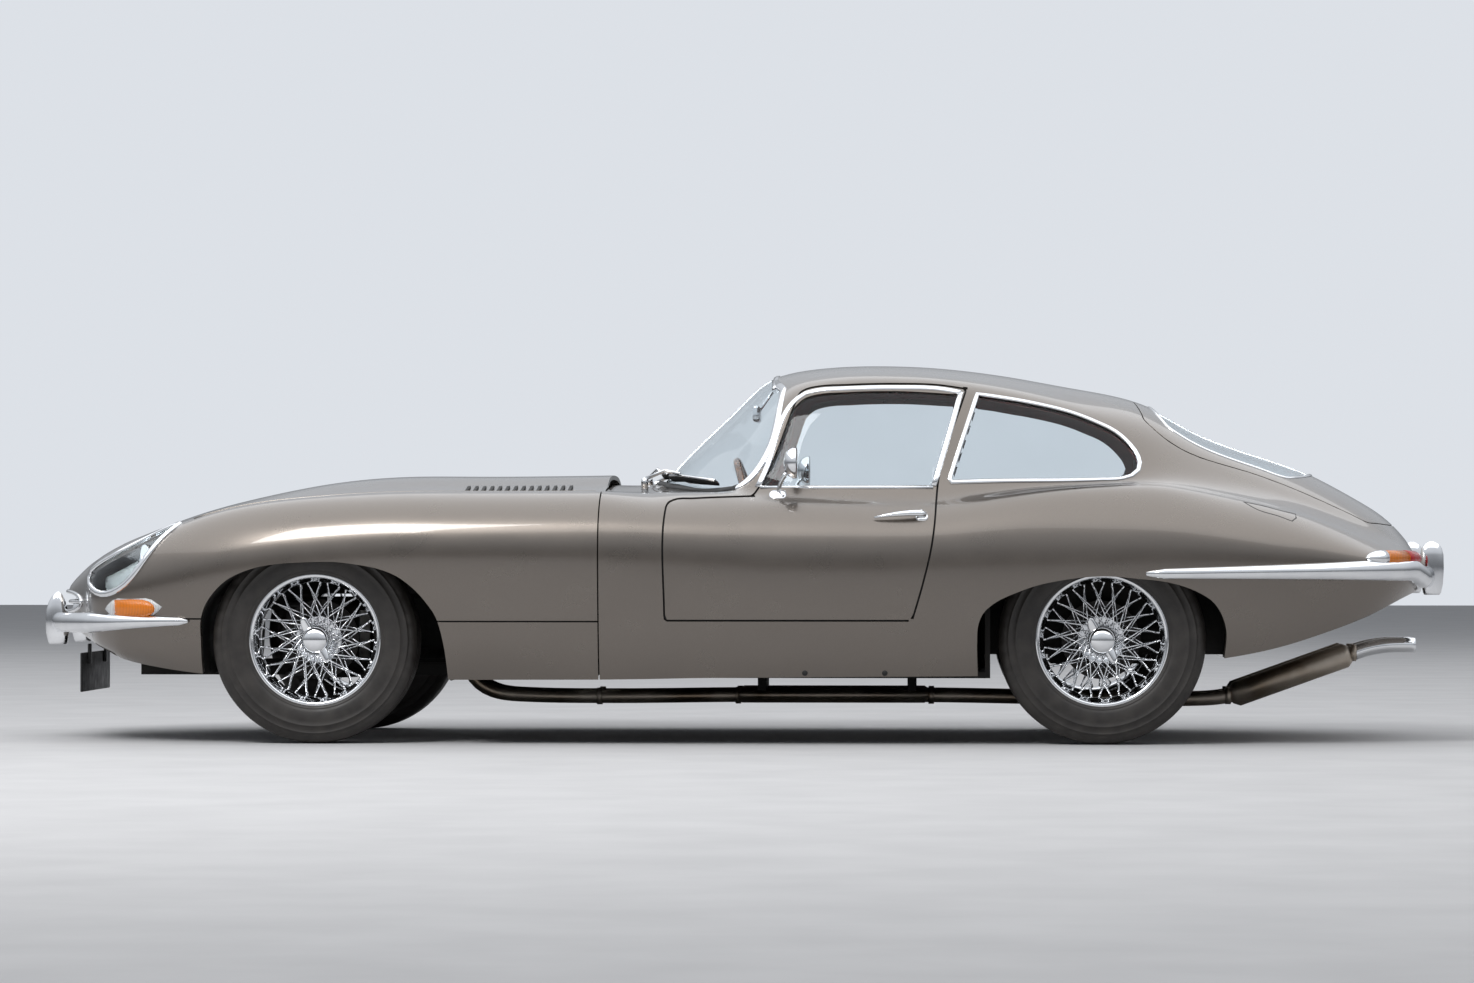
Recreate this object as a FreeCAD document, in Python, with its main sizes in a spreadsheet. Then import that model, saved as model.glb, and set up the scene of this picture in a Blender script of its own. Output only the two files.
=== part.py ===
"""Two-seat coupe car, built as separate named pieces in millimetres.

Frame: +X points to the nose, +Y to the car's left, +Z up, ground at z = 0.
"""
import FreeCAD
import Part
import math
import os
from FreeCAD import Placement, Rotation, Vector

doc = FreeCAD.newDocument("coupe_car")

# Sizes that others are worked out from
BODY_HALF_WIDTH = 828.0
WHEEL_TUCK = 193.0
KINGPIN_OFFSET = 75.0
TYRE_HALF_WIDTH = 82.0
FLOOR_TUCK = 128.0
LOAD_FLOOR_CLEARANCE = 33.0
HALF_TRACK = BODY_HALF_WIDTH - WHEEL_TUCK

# Driving sizes, one row each: name, millimetres or degrees, meaning
SIZES = [
    ("front_axle_x", 1297.0, "front axle from the middle of the car"),
    ("rear_axle_x", -1141.0, "rear axle from the middle of the car"),
    ("hub_z", 322.0, "wheel centre above the ground"),
    ("half_track", HALF_TRACK, "wheel centre plane from the centreline"),
    ("kingpin_y", HALF_TRACK - KINGPIN_OFFSET, "steering axis from the centreline"),
    ("tyre_radius", 322.0, "tyre outside radius"),
    ("tyre_half_width", TYRE_HALF_WIDTH, "half the tyre's section width"),
    ("tread_half_width", 52.0, "half the tyre's tread width"),
    ("shoulder_half_width", 62.0, "half the tyre's width at its shoulders"),
    ("shoulder_drop", 9.0, "tyre shoulders below the tread"),
    ("rim_radius", 206.0, "rim flange radius"),
    ("rim_half_width", 68.0, "half the width over the rim flanges"),
    ("hub_radius", 46.0, "wire wheel hub shell radius"),
    ("spoke_width", 5.0, "width of a wire spoke"),
    ("wheel_sides", 36.0, "sides of the wheels' round outlines"),
    ("panel", 16.0, "thickness of bonnet and valance"),
    ("arch_wall", 6.0, "thickness of the wing round the steered wheel"),
    ("side_wall", 60.0, "thickness of doors and body sides"),
    ("door_inner_y", 596.0, "how far in the doors reach below the waist"),
    ("rear_wall", 45.0, "thickness of the rear quarters"),
    ("tail_wall", 20.0, "thickness of the tail"),
    ("roof_wall", 22.0, "thickness of roof, pillars and tailgate"),
    ("glass_set_in", 3.0, "glass below the outer surface"),
    ("glass_depth", 9.0, "inner face of the glass below the outer surface"),
    ("shut_gap", 6.0, "gap round the moving panels"),
    ("door_gap", 6.8, "gap round the doors, which swing out on hidden hinges"),
    ("bonnet_shut_x", 412.5, "rear edge of the bonnet"),
    ("seam_z", 387.0, "seam between bonnet and valance"),
    ("sill_top_z", 377.5, "top of the sill panel"),
    ("floor_z", 205.0, "underside of the floor"),
    ("floor_thickness", 20.0, "floor plate with its stiffeners"),
    ("load_floor_z", 470.0, "underside of the load floor"),
    ("engine_length", 700.0, "engine block"),
    ("engine_width", 400.0, "engine block"),
    ("engine_height", 470.0, "engine block"),
    ("seat_width", 430.0, "bucket seat"),
    ("steering_wheel_radius", 190.0, "middle of the steering wheel's rim"),
    ("steering_rim_radius", 13.0, "thickness radius of the steering wheel's rim"),
    ("pipe_radius", 25.0, "exhaust pipe"),
    ("silencer_radius", 52.0, "exhaust silencer"),
    ("plate_length", 520.0, "rear plate"),
    ("plate_height", 110.0, "rear plate"),
    ("plate_thickness", 6.0, "front and rear plates"),
    ("rear_plate_z", 480.0, "lower edge of the rear plate"),
    ("front_plate_z", 147.0, "lower edge of the front plate"),
    ("front_plate_x", 2102.0, "rear face of the front plate"),
    ("front_plate_height", 125.0, "front plate"),
    ("mouth_half_width", 255.0, "air intake"),
    ("mouth_low_z", 400.0, "lower edge of the air intake"),
    ("mouth_height", 66.0, "air intake"),
    ("grille_bar_radius", 9.0, "chrome bar across the air intake"),
    ("mirror_radius", 48.0, "door mirror"),
    ("mirror_depth", 36.0, "door mirror"),
    ("sidewall_drop", 55.0, "widest line of the tyre below its tread"),
    ("rim_depth", 26.0, "depth of the rim channel"),
    ("hub_outer", 40.0, "outer end of the wheel hub from the wheel's middle plane"),
    ("hub_inner", -60.0, "inner end of the wheel hub from the wheel's middle plane"),
    ("spinner_length", 52.0, "knock-off nut beyond the hub"),
    ("knuckle_width", 50.0, "upright, fore and aft"),
    ("knuckle_depth", 24.0, "upright, across"),
    ("knuckle_drop", 95.0, "half the height of the upright"),
    ("stub_radius", 24.0, "stub axle"),
    ("steering_arm_length", 110.0, "steering arm"),
    ("arm_radius", 12.0, "suspension arms"),
    ("arm_spread", 130.0, "half the spread of a wishbone at the frame"),
    ("frame_half_width", 330.0, "outer face of the front frame"),
    ("frame_tube", 38.0, "square frame tube"),
    ("frame_low_z", 205.0, "lower frame tubes"),
    ("frame_high_z", 410.0, "upper frame tubes"),
    ("frame_front_x", 1900.0, "front end of the frame"),
    ("bulkhead_x", 380.0, "front face of the bulkhead"),
    ("pivot_x", 1965.0, "bonnet pivot"),
    ("pivot_z", 335.0, "bonnet pivot"),
    ("pivot_radius", 14.0, "bonnet pivot bushes"),
    ("joint_play", 0.3, "play between two faces that turn on each other"),
    ("engine_front_x", 1180.0, "front face of the engine"),
    ("engine_z", 270.0, "underside of the engine"),
    ("floor_rear", 780.0, "rear end of the cabin floor behind the middle of the car"),
    ("floor_half_width", BODY_HALF_WIDTH - FLOOR_TUCK, "cabin floor"),
    ("tunnel_half_width", 130.0, "tunnel"),
    ("tunnel_height", 190.0, "tunnel"),
    ("load_rear_x", -1900.0, "rear end of the load floor"),
    ("load_half_width", HALF_TRACK - TYRE_HALF_WIDTH - LOAD_FLOOR_CLEARANCE, "load floor"),
    ("dash_x", 120.0, "rear face of the dashboard"),
    ("dash_half_width", 560.0, "dashboard"),
    ("dash_z", 625.0, "underside of the dashboard"),
    ("dash_height", 88.0, "dashboard"),
    ("driver_y", 360.0, "middle of the driver's seat"),
    ("seat_x", -680.0, "rear end of the seats"),
    ("seat_length", 480.0, "seat cushion"),
    ("seat_height", 170.0, "seat cushion"),
    ("seat_back_height", 470.0, "seat back"),
    ("seat_back_thickness", 110.0, "seat back"),
    ("wheel_x", -60.0, "middle of the steering wheel"),
    ("wheel_z", 700.0, "middle of the steering wheel"),
    ("column_radius", 20.0, "steering column"),
    ("column_rake", 72.0, "steering axis from the vertical, degrees"),
    ("column_end_x", 190.0, "lower end of the steering column, inside the dashboard"),
    ("boss_depth", 8.0, "steering wheel's boss below its rim"),
    ("boss_height", 26.0, "steering wheel's boss"),
    ("shaft_radius", 22.0, "rear half shafts"),
    ("cage_half_length", 150.0, "rear suspension cage"),
    ("cage_half_width", 220.0, "rear suspension cage"),
    ("cage_z", 240.0, "rear suspension cage"),
    ("cage_height", 190.0, "rear suspension cage"),
    ("pipe_y", 75.0, "exhaust pipes from the centreline"),
    ("pipe_z", 138.0, "exhaust pipes above the ground"),
]

sheet = doc.addObject("Spreadsheet::Sheet", "Sizes")
for row, (name, value, meaning) in enumerate(SIZES, start=1):
    sheet.set(f"A{row}", name)
    sheet.set(f"B{row}", str(value))
    sheet.set(f"C{row}", meaning)
    sheet.setAlias(f"B{row}", name)
doc.recompute()


def size(name):
    """Read one driving size from the sheet."""
    return float(sheet.get(name))


# Outer surface of the body, left half. Each row is one section across the car:
# x, then y and z of low edge, sill, widest line, shoulder, wing crown, waist, glass, rail,
# roof edge and roof crest, then z on the centreline
SECTIONS = [
    (2186, 45, 395, 62, 405, 72, 428, 68, 445, 62, 452, 54, 457, 45, 460, 35, 463, 24, 465, 12, 466, 466),
    (2170, 90, 372, 112, 385, 125, 425, 120, 455, 110, 470, 96, 480, 80, 487, 62, 492, 42, 495, 20, 497,
     498),
    (2120, 170, 335, 205, 355, 228, 425, 222, 470, 205, 500, 180, 518, 150, 529, 118, 535, 82, 539, 40, 541,
     541),
    (2085, 235, 318, 282, 345, 312, 428, 305, 482, 280, 518, 242, 540, 200, 553, 155, 560, 108, 564, 54,
     566,
     566),
    (2055, 320, 308, 380, 338, 418, 432, 408, 490, 375, 528, 322, 552, 265, 566, 205, 575, 140, 580, 70,
     583,
     584),
    (2024, 435, 301, 488, 330, 522, 435, 514, 495, 486, 532, 425, 558, 358, 575, 282, 587, 195, 596, 98,
     601,
     602),
    (1960, 512, 275, 565, 314, 600, 437, 590, 512, 552, 564, 478, 590, 402, 606, 318, 618, 223, 627, 110,
     632,
     632),
    (1895, 560, 252, 610, 300, 650, 440, 640, 530, 590, 598, 500, 618, 420, 632, 335, 644, 235, 653, 118,
     657, 658),
    (1727, 640, 224, 685, 300, 724, 455, 712, 590, 620, 680, 520, 686, 430, 696, 340, 706, 240, 715, 120,
     721, 723),
    (1520, 700, 206, 740, 300, 775, 480, 765, 630, 650, 735, 540, 738, 440, 748, 345, 760, 240, 769, 120,
     775, 777),
    (1297, 725, 200, 768, 305, 802, 500, 790, 660, 665, 762, 550, 762, 445, 772, 345, 790, 240, 808, 120,
     817, 819),
    (1060, 745, 200, 785, 310, 818, 515, 803, 680, 672, 776, 555, 776, 450, 784, 345, 803, 240, 826, 120,
     836, 838),
    (800, 755, 200, 795, 315, 826, 525, 808, 685, 676, 778, 558, 778, 450, 785, 345, 803, 240, 826, 120,
     836, 838),
    (411, 765, 201, 800, 318, 828, 530, 808, 688, 680, 778, 560, 780, 450, 788, 345, 806, 240, 830, 120,
     840, 842),
    (407, 765, 201, 800, 318, 828, 530, 808, 688, 684, 776, 560, 782, 450, 787, 345, 795, 240, 803, 120,
     809, 811),
    (268, 768, 203, 802, 320, 828, 532, 806, 686, 690, 762, 575, 780, 450, 790, 345, 799, 240, 807, 120,
     812, 814),
    (215, 769, 204, 802, 320, 828, 533, 806, 684, 694, 760, 585, 781, 430, 791, 280, 801, 200, 830, 100,
     852, 860),
    (120, 770, 206, 803, 321, 828, 534, 806, 680, 705, 757, 600, 782, 450, 793, 350, 850, 240, 910, 120,
     945, 957),
    (20, 770, 207, 803, 322, 828, 535, 806, 675, 716, 752, 625, 785, 545, 800, 430, 905, 290, 985, 145,
     1037, 1052),
    (-65, 770, 208, 803, 322, 828, 535, 806, 672, 728, 748, 642, 790, 570, 885, 470, 990, 320, 1075, 160,
     1121, 1133),
    (-130, 770, 208, 803, 322, 828, 535, 806, 670, 732, 746, 655, 793, 592, 915, 505, 1045, 350, 1116, 178,
     1151, 1162),
    (-200, 770, 209, 803, 322, 828, 535, 806, 669, 736, 744, 664, 795, 604, 940, 522, 1085, 372, 1142, 190,
     1169, 1178),
    (-330, 770, 210, 803, 322, 828, 535, 806, 668, 738, 740, 671, 795, 612, 952, 528, 1108, 384, 1158, 198,
     1183, 1190),
    (-480, 770, 211, 803, 322, 828, 535, 806, 668, 738, 737, 673, 795, 614, 953, 530, 1112, 388, 1160, 202,
     1185, 1192),
    (-650, 769, 212, 802, 323, 828, 537, 806, 672, 736, 739, 668, 796, 606, 948, 522, 1104, 382, 1151, 198,
     1176, 1184),
    (-860, 765, 215, 800, 325, 826, 540, 803, 690, 725, 768, 650, 800, 584, 932, 500, 1074, 366, 1122, 190,
     1149, 1158),
    (-1060, 758, 225, 793, 335, 822, 545, 795, 700, 705, 790, 625, 806, 556, 905, 474, 1024, 348, 1078,
     181, 1110, 1122),
    (-1280, 745, 245, 780, 350, 808, 550, 780, 700, 680, 792, 605, 812, 530, 862, 450, 945, 335, 1018, 175,
     1060, 1074),
    (-1445, 728, 258, 762, 362, 790, 550, 762, 688, 660, 770, 585, 790, 512, 818, 440, 866, 338, 930, 178,
     973, 987),
    (-1640, 695, 290, 726, 385, 755, 548, 728, 660, 630, 730, 560, 748, 495, 768, 430, 798, 335, 850, 178,
     895, 912),
    (-1800, 648, 335, 680, 415, 706, 545, 682, 630, 595, 686, 530, 704, 470, 722, 408, 744, 318, 790, 168,
     835, 856),
    (-1960, 575, 392, 610, 450, 636, 540, 615, 592, 540, 628, 485, 644, 430, 660, 372, 680, 288, 718, 152,
     755, 772),
    (-2060, 500, 440, 535, 480, 558, 538, 540, 570, 480, 594, 430, 608, 380, 622, 325, 638, 250, 664, 132,
     695, 709),
    (-2120, 415, 466, 450, 495, 470, 532, 452, 556, 405, 572, 362, 582, 318, 592, 270, 603, 205, 620, 108,
     640, 650),
    (-2143, 355, 476, 388, 500, 405, 528, 390, 547, 350, 560, 312, 568, 274, 576, 232, 584, 176, 596, 92,
     610, 617),
]
WAIST_INDEX = 5
CLOSED_NOSE_X = 2000.0
CLOSED_TAIL_X = -1560.0
NOSE_X = SECTIONS[0][0]
TAIL_X = SECTIONS[-1][0]
REACH = NOSE_X + 300.0
BONNET_END_X = 409.0
CABIN_END_X = -900.0
TAIL_PANEL_X = -1900.0
ABOVE_ROOF = 1300.0
# Sections that the inner surface uses: it needs fewer than the outside
INNER_X = (
    2170, 2120, 2085, 2055, 2024, 1960, 1727, 1297, 800, 411, 407, 268, 120, 20, -65, -200, -480, -860,
    -1060, -1280, -1640, -1960, -2120,
)


def half_section(row, depth_sides=0.0, depth_top=0.0):
    """Return the left half outline of one section, moved inwards by the given depths."""
    points = [(row[i], row[i + 1]) for i in range(1, len(row) - 1, 2)]
    points.append((0.0, row[-1]))
    if not depth_sides and not depth_top:
        return points
    moved = []
    for i, (y, z) in enumerate(points):
        before = points[max(i - 1, 0)]
        after = points[i + 1] if i + 1 < len(points) else (-before[0], before[1])
        run = math.hypot(after[0] - before[0], after[1] - before[1])
        depth = depth_sides if i <= WAIST_INDEX else depth_top
        inwards = (-(after[1] - before[1]) / run, (after[0] - before[0]) / run)
        moved.append((y + inwards[0] * depth, z + inwards[1] * depth))
    moved[-1] = (0.0, moved[-1][1])
    return moved


def section_ring(x, points):
    """Return the corners of a half outline and of its mirror image."""
    left = [Vector(x, y, z) for y, z in points]
    right = [Vector(x, -y, z) for y, z in reversed(points[:-1])]
    return left + right


def face_of(*corners):
    """Make a flat face from its corners."""
    return Part.Face(Part.makePolygon(list(corners) + [corners[0]]))


def facet_loft(rings, closed=False):
    """Loft rings of corners with flat three-cornered faces, and with flat ends unless closed."""
    faces = [] if closed else [face_of(*rings[0]), face_of(*rings[-1])]
    count = len(rings[0])
    for ring, following in zip(rings, rings[1:]):
        for i in range(count):
            k = (i + 1) % count
            if i < count // 2:
                faces.append(face_of(ring[i], ring[k], following[k]))
                faces.append(face_of(ring[i], following[k], following[i]))
            else:
                faces.append(face_of(ring[i], ring[k], following[i]))
                faces.append(face_of(ring[k], following[k], following[i]))
    solid = Part.makeSolid(Part.makeShell(faces))
    if solid.Volume < 0:
        solid.reverse()
    return solid


def body_depths(x):
    """Return the wall thickness of the sides and of the top at one section."""
    if x > BONNET_END_X:
        return size("panel"), size("panel")
    if x > CABIN_END_X:
        return size("side_wall"), size("roof_wall")
    if x > TAIL_PANEL_X:
        return size("rear_wall"), size("roof_wall")
    return size("tail_wall"), size("tail_wall")


def loft(depth=None):
    """Loft the body's surface: the outside, the inside, or at one given depth."""
    rings = []
    for row in SECTIONS:
        x = row[0]
        if depth == "inside":
            if x not in INNER_X:
                continue
            sides, top = body_depths(x)
            points = half_section(row, sides, top)
            closed = x > CLOSED_NOSE_X or x < CLOSED_TAIL_X
            low_y, low_z = points[0]
            points[0] = (low_y, row[2] + (size("panel") if closed else -3.0 * size("side_wall")))
        else:
            points = half_section(row, depth or 0.0, depth or 0.0)
        rings.append(section_ring(x, points))
    return facet_loft(rings)


def side_prism(points, y_from=-REACH, y_to=REACH):
    """Extrude an outline given in side view as x, z pairs across the car."""
    corners = [Vector(x, y_from, z) for x, z in points]
    face = Part.Face(Part.makePolygon(corners + corners[:1]))
    return face.extrude(Vector(0, y_to - y_from, 0))


def grown(points, distance):
    """Move a closed outline outwards by a distance, corner by corner."""
    area = sum(
        p[0] * q[1] - q[0] * p[1] for p, q in zip(points, points[1:] + points[:1])
    )
    turn = 1.0 if area > 0 else -1.0
    result = []
    for i, here in enumerate(points):
        before = points[i - 1]
        after = points[(i + 1) % len(points)]
        into = Vector(here[0] - before[0], here[1] - before[1], 0).normalize()
        out = Vector(after[0] - here[0], after[1] - here[1], 0).normalize()
        normal = Vector(into.y + out.y, -into.x - out.x, 0).multiply(turn).normalize()
        cosine = max(normal.dot(Vector(into.y, -into.x, 0).multiply(turn)), 0.35)
        result.append((here[0] + normal.x * distance / cosine, here[1] + normal.y * distance / cosine))
    return result


def rod(start, end, radius, sides):
    """Return a many-sided rod between two points."""
    along = (end - start).normalize()
    across = Vector(0, 1, 0) if abs(along.y) < 0.9 else Vector(1, 0, 0)
    first = along.cross(across).normalize() * radius
    rings = []
    for centre in (start, end):
        rings.append([centre + Rotation(along, 360.0 * n / sides).multVec(first) for n in range(sides)])
    return facet_loft(rings)


def coded(name, shape, merge=True):
    """Add a piece whose shape follows from the tables above, its level faces merged if wanted."""
    item = doc.addObject("Part::Feature", name)
    item.Shape = shape.removeSplitter() if merge else shape
    item.Placement = Placement()
    return item


# Outlines in side view, x and z
FRONT_ARCH = [
    (1652, -50), (1652, 204), (1651, 320), (1649, 386), (1634, 429), (1606, 469), (1566, 506),
    (1520, 530), (1458, 549), (1397, 558), (1335, 562), (1212, 563), (1151, 555), (1089, 543),
    (1027, 518), (997, 497), (966, 469), (935, 432), (914, 401), (904, 376), (889, 315),
    (877, 207), (877, -50),
]
REAR_ARCH = [
    (-757, -50), (-757, 222), (-755, 315), (-760, 376), (-774, 407), (-805, 435), (-882, 472),
    (-943, 493), (-1005, 506), (-1066, 515), (-1128, 520), (-1189, 518), (-1251, 512),
    (-1313, 506), (-1374, 493), (-1436, 469), (-1482, 438), (-1503, 407), (-1519, 361),
    (-1516, 266), (-1516, -50),
]
WINDSCREEN = [
    (262, 815), (185, 797), (52, 787), (-10, 796), (-55, 828), (-90, 875), (-143, 1065),
    (-148, 1105), (-115, 1138), (-100, 1300), (600, 1300), (600, 900), (300, 835),
]
DOOR_WINDOW = [
    (-85, 797), (-196, 1056), (-243, 1084), (-352, 1094), (-509, 1097), (-700, 1087), (-613, 797),
]
QUARTER_WINDOW = [
    (-758, 1088), (-823, 1079), (-945, 1058), (-1070, 1026), (-1130, 1002), (-1190, 972),
    (-1235, 931), (-1255, 903), (-1264, 873), (-1258, 850), (-1236, 832), (-1208, 824),
    (-1133, 820), (-822, 815), (-668, 811),
]
# Door outline: x, z, then the y of the surface there and how far the edge slants forwards inwards
DOOR = [
    (205, 383.5, 812, 0.0), (205, 735, 745, 0.0), (190, 757, 722, 0.0), (-62, 768, 690, 0.0),
    (-84, 803, 650, 0.0), (-202, 1094, 524, 0.0), (-252, 1112, 520, 0.0), (-355, 1118, 518, 0.0),
    (-509, 1121, 518, 0.0), (-640, 1117, 516, 0.1), (-724, 1105, 510, 0.36), (-634, 797, 668, 0.36),
    (-630, 747, 727, 0.3), (-627, 700, 780, 0.2), (-618, 623, 814, 0.2), (-590, 500, 822, 0.2),
    (-556, 383.5, 812, 0.2),
]
SILL_FRONT_X = 900.0
SILL_REAR_X = -800.0
SILL = [
    (SILL_FRONT_X, -50), (SILL_FRONT_X, size("sill_top_z")), (SILL_REAR_X, size("sill_top_z")),
    (SILL_REAR_X, -50),
]
# Tailgate outline in its own sloping plane: distance down the slope, half width there
TAILGATE_TOP = (-1286.0, 1045.0)
TAILGATE_FOOT = (-2035.0, 700.0)
TAILGATE_HALF_WIDTHS = [(0, 300), (14, 345), (48, 372), (420, 362), (720, 334), (790, 318), (815, 280)]
TAILGATE_GLASS = [(70, 260), (92, 306), (140, 318), (400, 306), (500, 288), (522, 250)]


def door_prism(side, extra):
    """Return the cutter of a door, whose rear edge slants so that it can swing out."""
    flat = grown([(x, z) for x, z, y, slant in DOOR], extra)
    rings = []
    for y_end in (1000.0, 300.0):
        ring = []
        for (x, z), (_, _, surface_y, slant) in zip(flat, DOOR):
            ring.append(Vector(x + slant * (surface_y - y_end), side * y_end, z))
        rings.append(ring)
    reach_in = size("door_inner_y") - extra
    below_waist = Part.makeBox(REACH, 2 * reach_in, 790, Vector(-0.5 * REACH, -reach_in, 0))
    return facet_loft(rings).cut(below_waist)


def tailgate_prism(outline, extra):
    """Extrude an outline of the tailgate's plane at right angles to that plane."""
    (top_x, top_z), (foot_x, foot_z) = TAILGATE_TOP, TAILGATE_FOOT
    length = math.hypot(foot_x - top_x, foot_z - top_z)
    down = Vector((foot_x - top_x) / length, 0, (foot_z - top_z) / length)
    out = Vector(down.z, 0, -down.x) * -1.0
    if out.z < 0:
        out = out * -1.0
    half = [(along, wide) for along, wide in outline]
    ring = grown(half + [(along, -wide) for along, wide in reversed(half)], extra)
    start = Vector(top_x, 0, top_z) - out * 150.0
    corners = [start + down * along + Vector(0, wide, 0) for along, wide in ring]
    return Part.Face(Part.makePolygon(corners + corners[:1])).extrude(out * 400.0)


outside = loft()
inside = loft("inside")
shell = outside.cut(inside)
pane = loft(size("glass_set_in")).cut(loft(size("glass_depth")))
door_edge = size("door_gap")
windscreen_cut = side_prism(WINDSCREEN)
door_cuts = door_prism(1, door_edge).fuse(door_prism(-1, door_edge))
door_window_cut = side_prism(DOOR_WINDOW)
quarter_cut = side_prism(QUARTER_WINDOW)
sill_zone = side_prism(SILL)
tailgate_cut = tailgate_prism(TAILGATE_HALF_WIDTHS, size("shut_gap"))

bonnet_x = size("bonnet_shut_x")
seam = size("seam_z")
sill_top = size("sill_top_z")
bonnet_low = sill_top + size("shut_gap")
wing_front_x, wing_rear_x = FRONT_ARCH[0][0], FRONT_ARCH[-1][0]
bonnet_zone = side_prism([
    (bonnet_x, bonnet_low), (bonnet_x, ABOVE_ROOF), (REACH, ABOVE_ROOF), (REACH, seam),
    (0.5 * (wing_front_x + wing_rear_x) + 100.0, seam),
    (0.5 * (wing_front_x + wing_rear_x) - 100.0, bonnet_low),
])
# The scuttle meets the cabin on the centreline of the windscreen's side edge
SCREEN_SPLIT = (-8.0, 795.0)
split_x, split_z = SCREEN_SPLIT
door_x = DOOR[0][0]
scuttle_x = bonnet_x - 7.0
scuttle_zone = side_prism([
    (scuttle_x, sill_top), (door_x, sill_top), (door_x, 735), (-66, 760), (-78, split_z), SCREEN_SPLIT,
    (split_x, ABOVE_ROOF), (scuttle_x, ABOVE_ROOF),
])
cabin_zone = side_prism([
    SCREEN_SPLIT, (split_x, ABOVE_ROOF), (-REACH, ABOVE_ROOF), (-REACH, 0), (SILL_REAR_X, 0),
    (SILL_REAR_X, sill_top), (-300, sill_top), (-300, split_z),
])
mouth = Part.makeBox(
    200, 2 * size("mouth_half_width"), size("mouth_height"),
    Vector(2030, -size("mouth_half_width"), size("mouth_low_z")))

arch_top = 700.0
arch_room = loft(size("arch_wall")).common(Part.makeBox(
    wing_front_x - wing_rear_x - 2 * size("panel"), 2 * REACH, arch_top - seam,
    Vector(wing_rear_x + size("panel"), -REACH, seam)))
coded("bonnet", shell.common(bonnet_zone).cut(side_prism(FRONT_ARCH)).cut(mouth).cut(arch_room))
valance = shell.common(
    side_prism([(wing_front_x - 50, seam), (REACH, seam), (REACH, 0), (wing_front_x - 50, 0)])
).cut(side_prism(FRONT_ARCH)).cut(mouth)
# Two bushes carry the valance and the bonnet on the frame's pivot arms
for side in (1, -1):
    bush_y = side * (size("frame_half_width") + size("joint_play"))
    bush = rod(Vector(size("pivot_x"), bush_y, size("pivot_z")),
               Vector(size("pivot_x"), side * BODY_HALF_WIDTH, size("pivot_z")), size("pivot_radius"), 12)
    valance = valance.fuse(bush.common(outside))
coded("front_valance", valance)
coded("sills", shell.common(sill_zone).cut(side_prism(FRONT_ARCH)).cut(side_prism(REAR_ARCH)))
bulkhead = inside.common(Part.makeBox(
    size("panel"), 2 * REACH, 2 * REACH, Vector(size("bulkhead_x"), -REACH, size("floor_z"))))
scuttle = shell.common(scuttle_zone).cut(door_cuts).cut(windscreen_cut)
coded("scuttle", scuttle.fuse(bulkhead.cut(sill_zone)))
upper = shell.common(cabin_zone).cut(door_cuts).cut(windscreen_cut).cut(quarter_cut)
coded("cabin_shell", upper.cut(tailgate_cut).cut(side_prism(REAR_ARCH)), merge=False)
for side, word in ((1, "left"), (-1, "right")):
    prism = door_prism(side, 0.0)
    coded("door_" + word, shell.common(prism).cut(door_window_cut))
    coded("door_glass_" + word, pane.common(door_window_cut).common(
        Part.makeBox(REACH, REACH, ABOVE_ROOF, Vector(-0.5 * REACH, 0 if side > 0 else -REACH, 0))))
coded("windscreen", pane.common(windscreen_cut))
coded("quarter_windows", pane.common(quarter_cut))
lid = tailgate_prism(TAILGATE_HALF_WIDTHS, 0.0)
lid_glass = tailgate_prism(TAILGATE_GLASS, 0.0)
coded("tailgate", shell.common(lid).cut(lid_glass))
coded("tailgate_glass", pane.common(lid_glass))


def worked_out(text):
    """Work out a sum of products of sizes and numbers, such as 'half_track + 2*panel'."""
    total = 0.0
    sign = 1.0
    for word in text.split():
        if word in "+-":
            sign = -1.0 if word == "-" else 1.0
            continue
        product = sign
        for factor in word.lstrip("-").split("*"):
            product *= size(factor) if factor[0].isalpha() else float(factor)
        total += -product if word.startswith("-") else product
        sign = 1.0
    return total


def on_sheet(text):
    """Write the same sum as an expression that points at the sheet's cells."""
    words = []
    for word in text.split():
        minus = "-" if word.startswith("-") and len(word) > 1 else ""
        factors = word[len(minus):].split("*")
        named = ["Sizes." + f if f[0].isalpha() else f for f in factors]
        words.append(minus + " * ".join(named))
    return " ".join(words)


def bind(item, prop, text):
    """Bind one property to the sheet."""
    item.setExpression(prop, on_sheet(text))


def put(item, at, turn=Rotation()):
    """Place an object at a point given as three sums of sizes."""
    item.Placement = Placement(Vector(*[worked_out(text) for text in at]), turn)
    for axis, text in zip("xyz", at):
        bind(item, "Placement.Base." + axis, text)
    return item


def block(name, at, length, width, height, turn=Rotation()):
    """Add a box with its low corner at the given point."""
    item = doc.addObject("Part::Box", name)
    bind(item, "Length", length)
    bind(item, "Width", width)
    bind(item, "Height", height)
    return put(item, at, turn)


BAR_SIDES = 8


def bar(name, start, end, radius):
    """Add an eight-sided bar from one point to another."""
    a = Vector(*[worked_out(text) for text in start])
    b = Vector(*[worked_out(text) for text in end])
    item = doc.addObject("Part::Prism", name)
    item.Polygon = BAR_SIDES
    bind(item, "Circumradius", radius)
    item.Height = (b - a).Length
    return put(item, start, Rotation(Vector(0, 0, 1), b - a))


def joined(name, pieces):
    """Fuse pieces into one node."""
    item = doc.addObject("Part::MultiFuse", name)
    item.Shapes = pieces
    item.Refine = False
    return item


def grouped(name, pieces):
    """Keep separate solids of one kind in one node."""
    item = doc.addObject("Part::Compound", name)
    item.Links = pieces
    return item


HALF_TURN = Rotation(Vector(0, 0, 1), 180)
LEFT_RIGHT = ((1, "left"), (-1, "right"))
AXLES = (("front", "front_axle_x"), ("rear", "rear_axle_x"))


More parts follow.
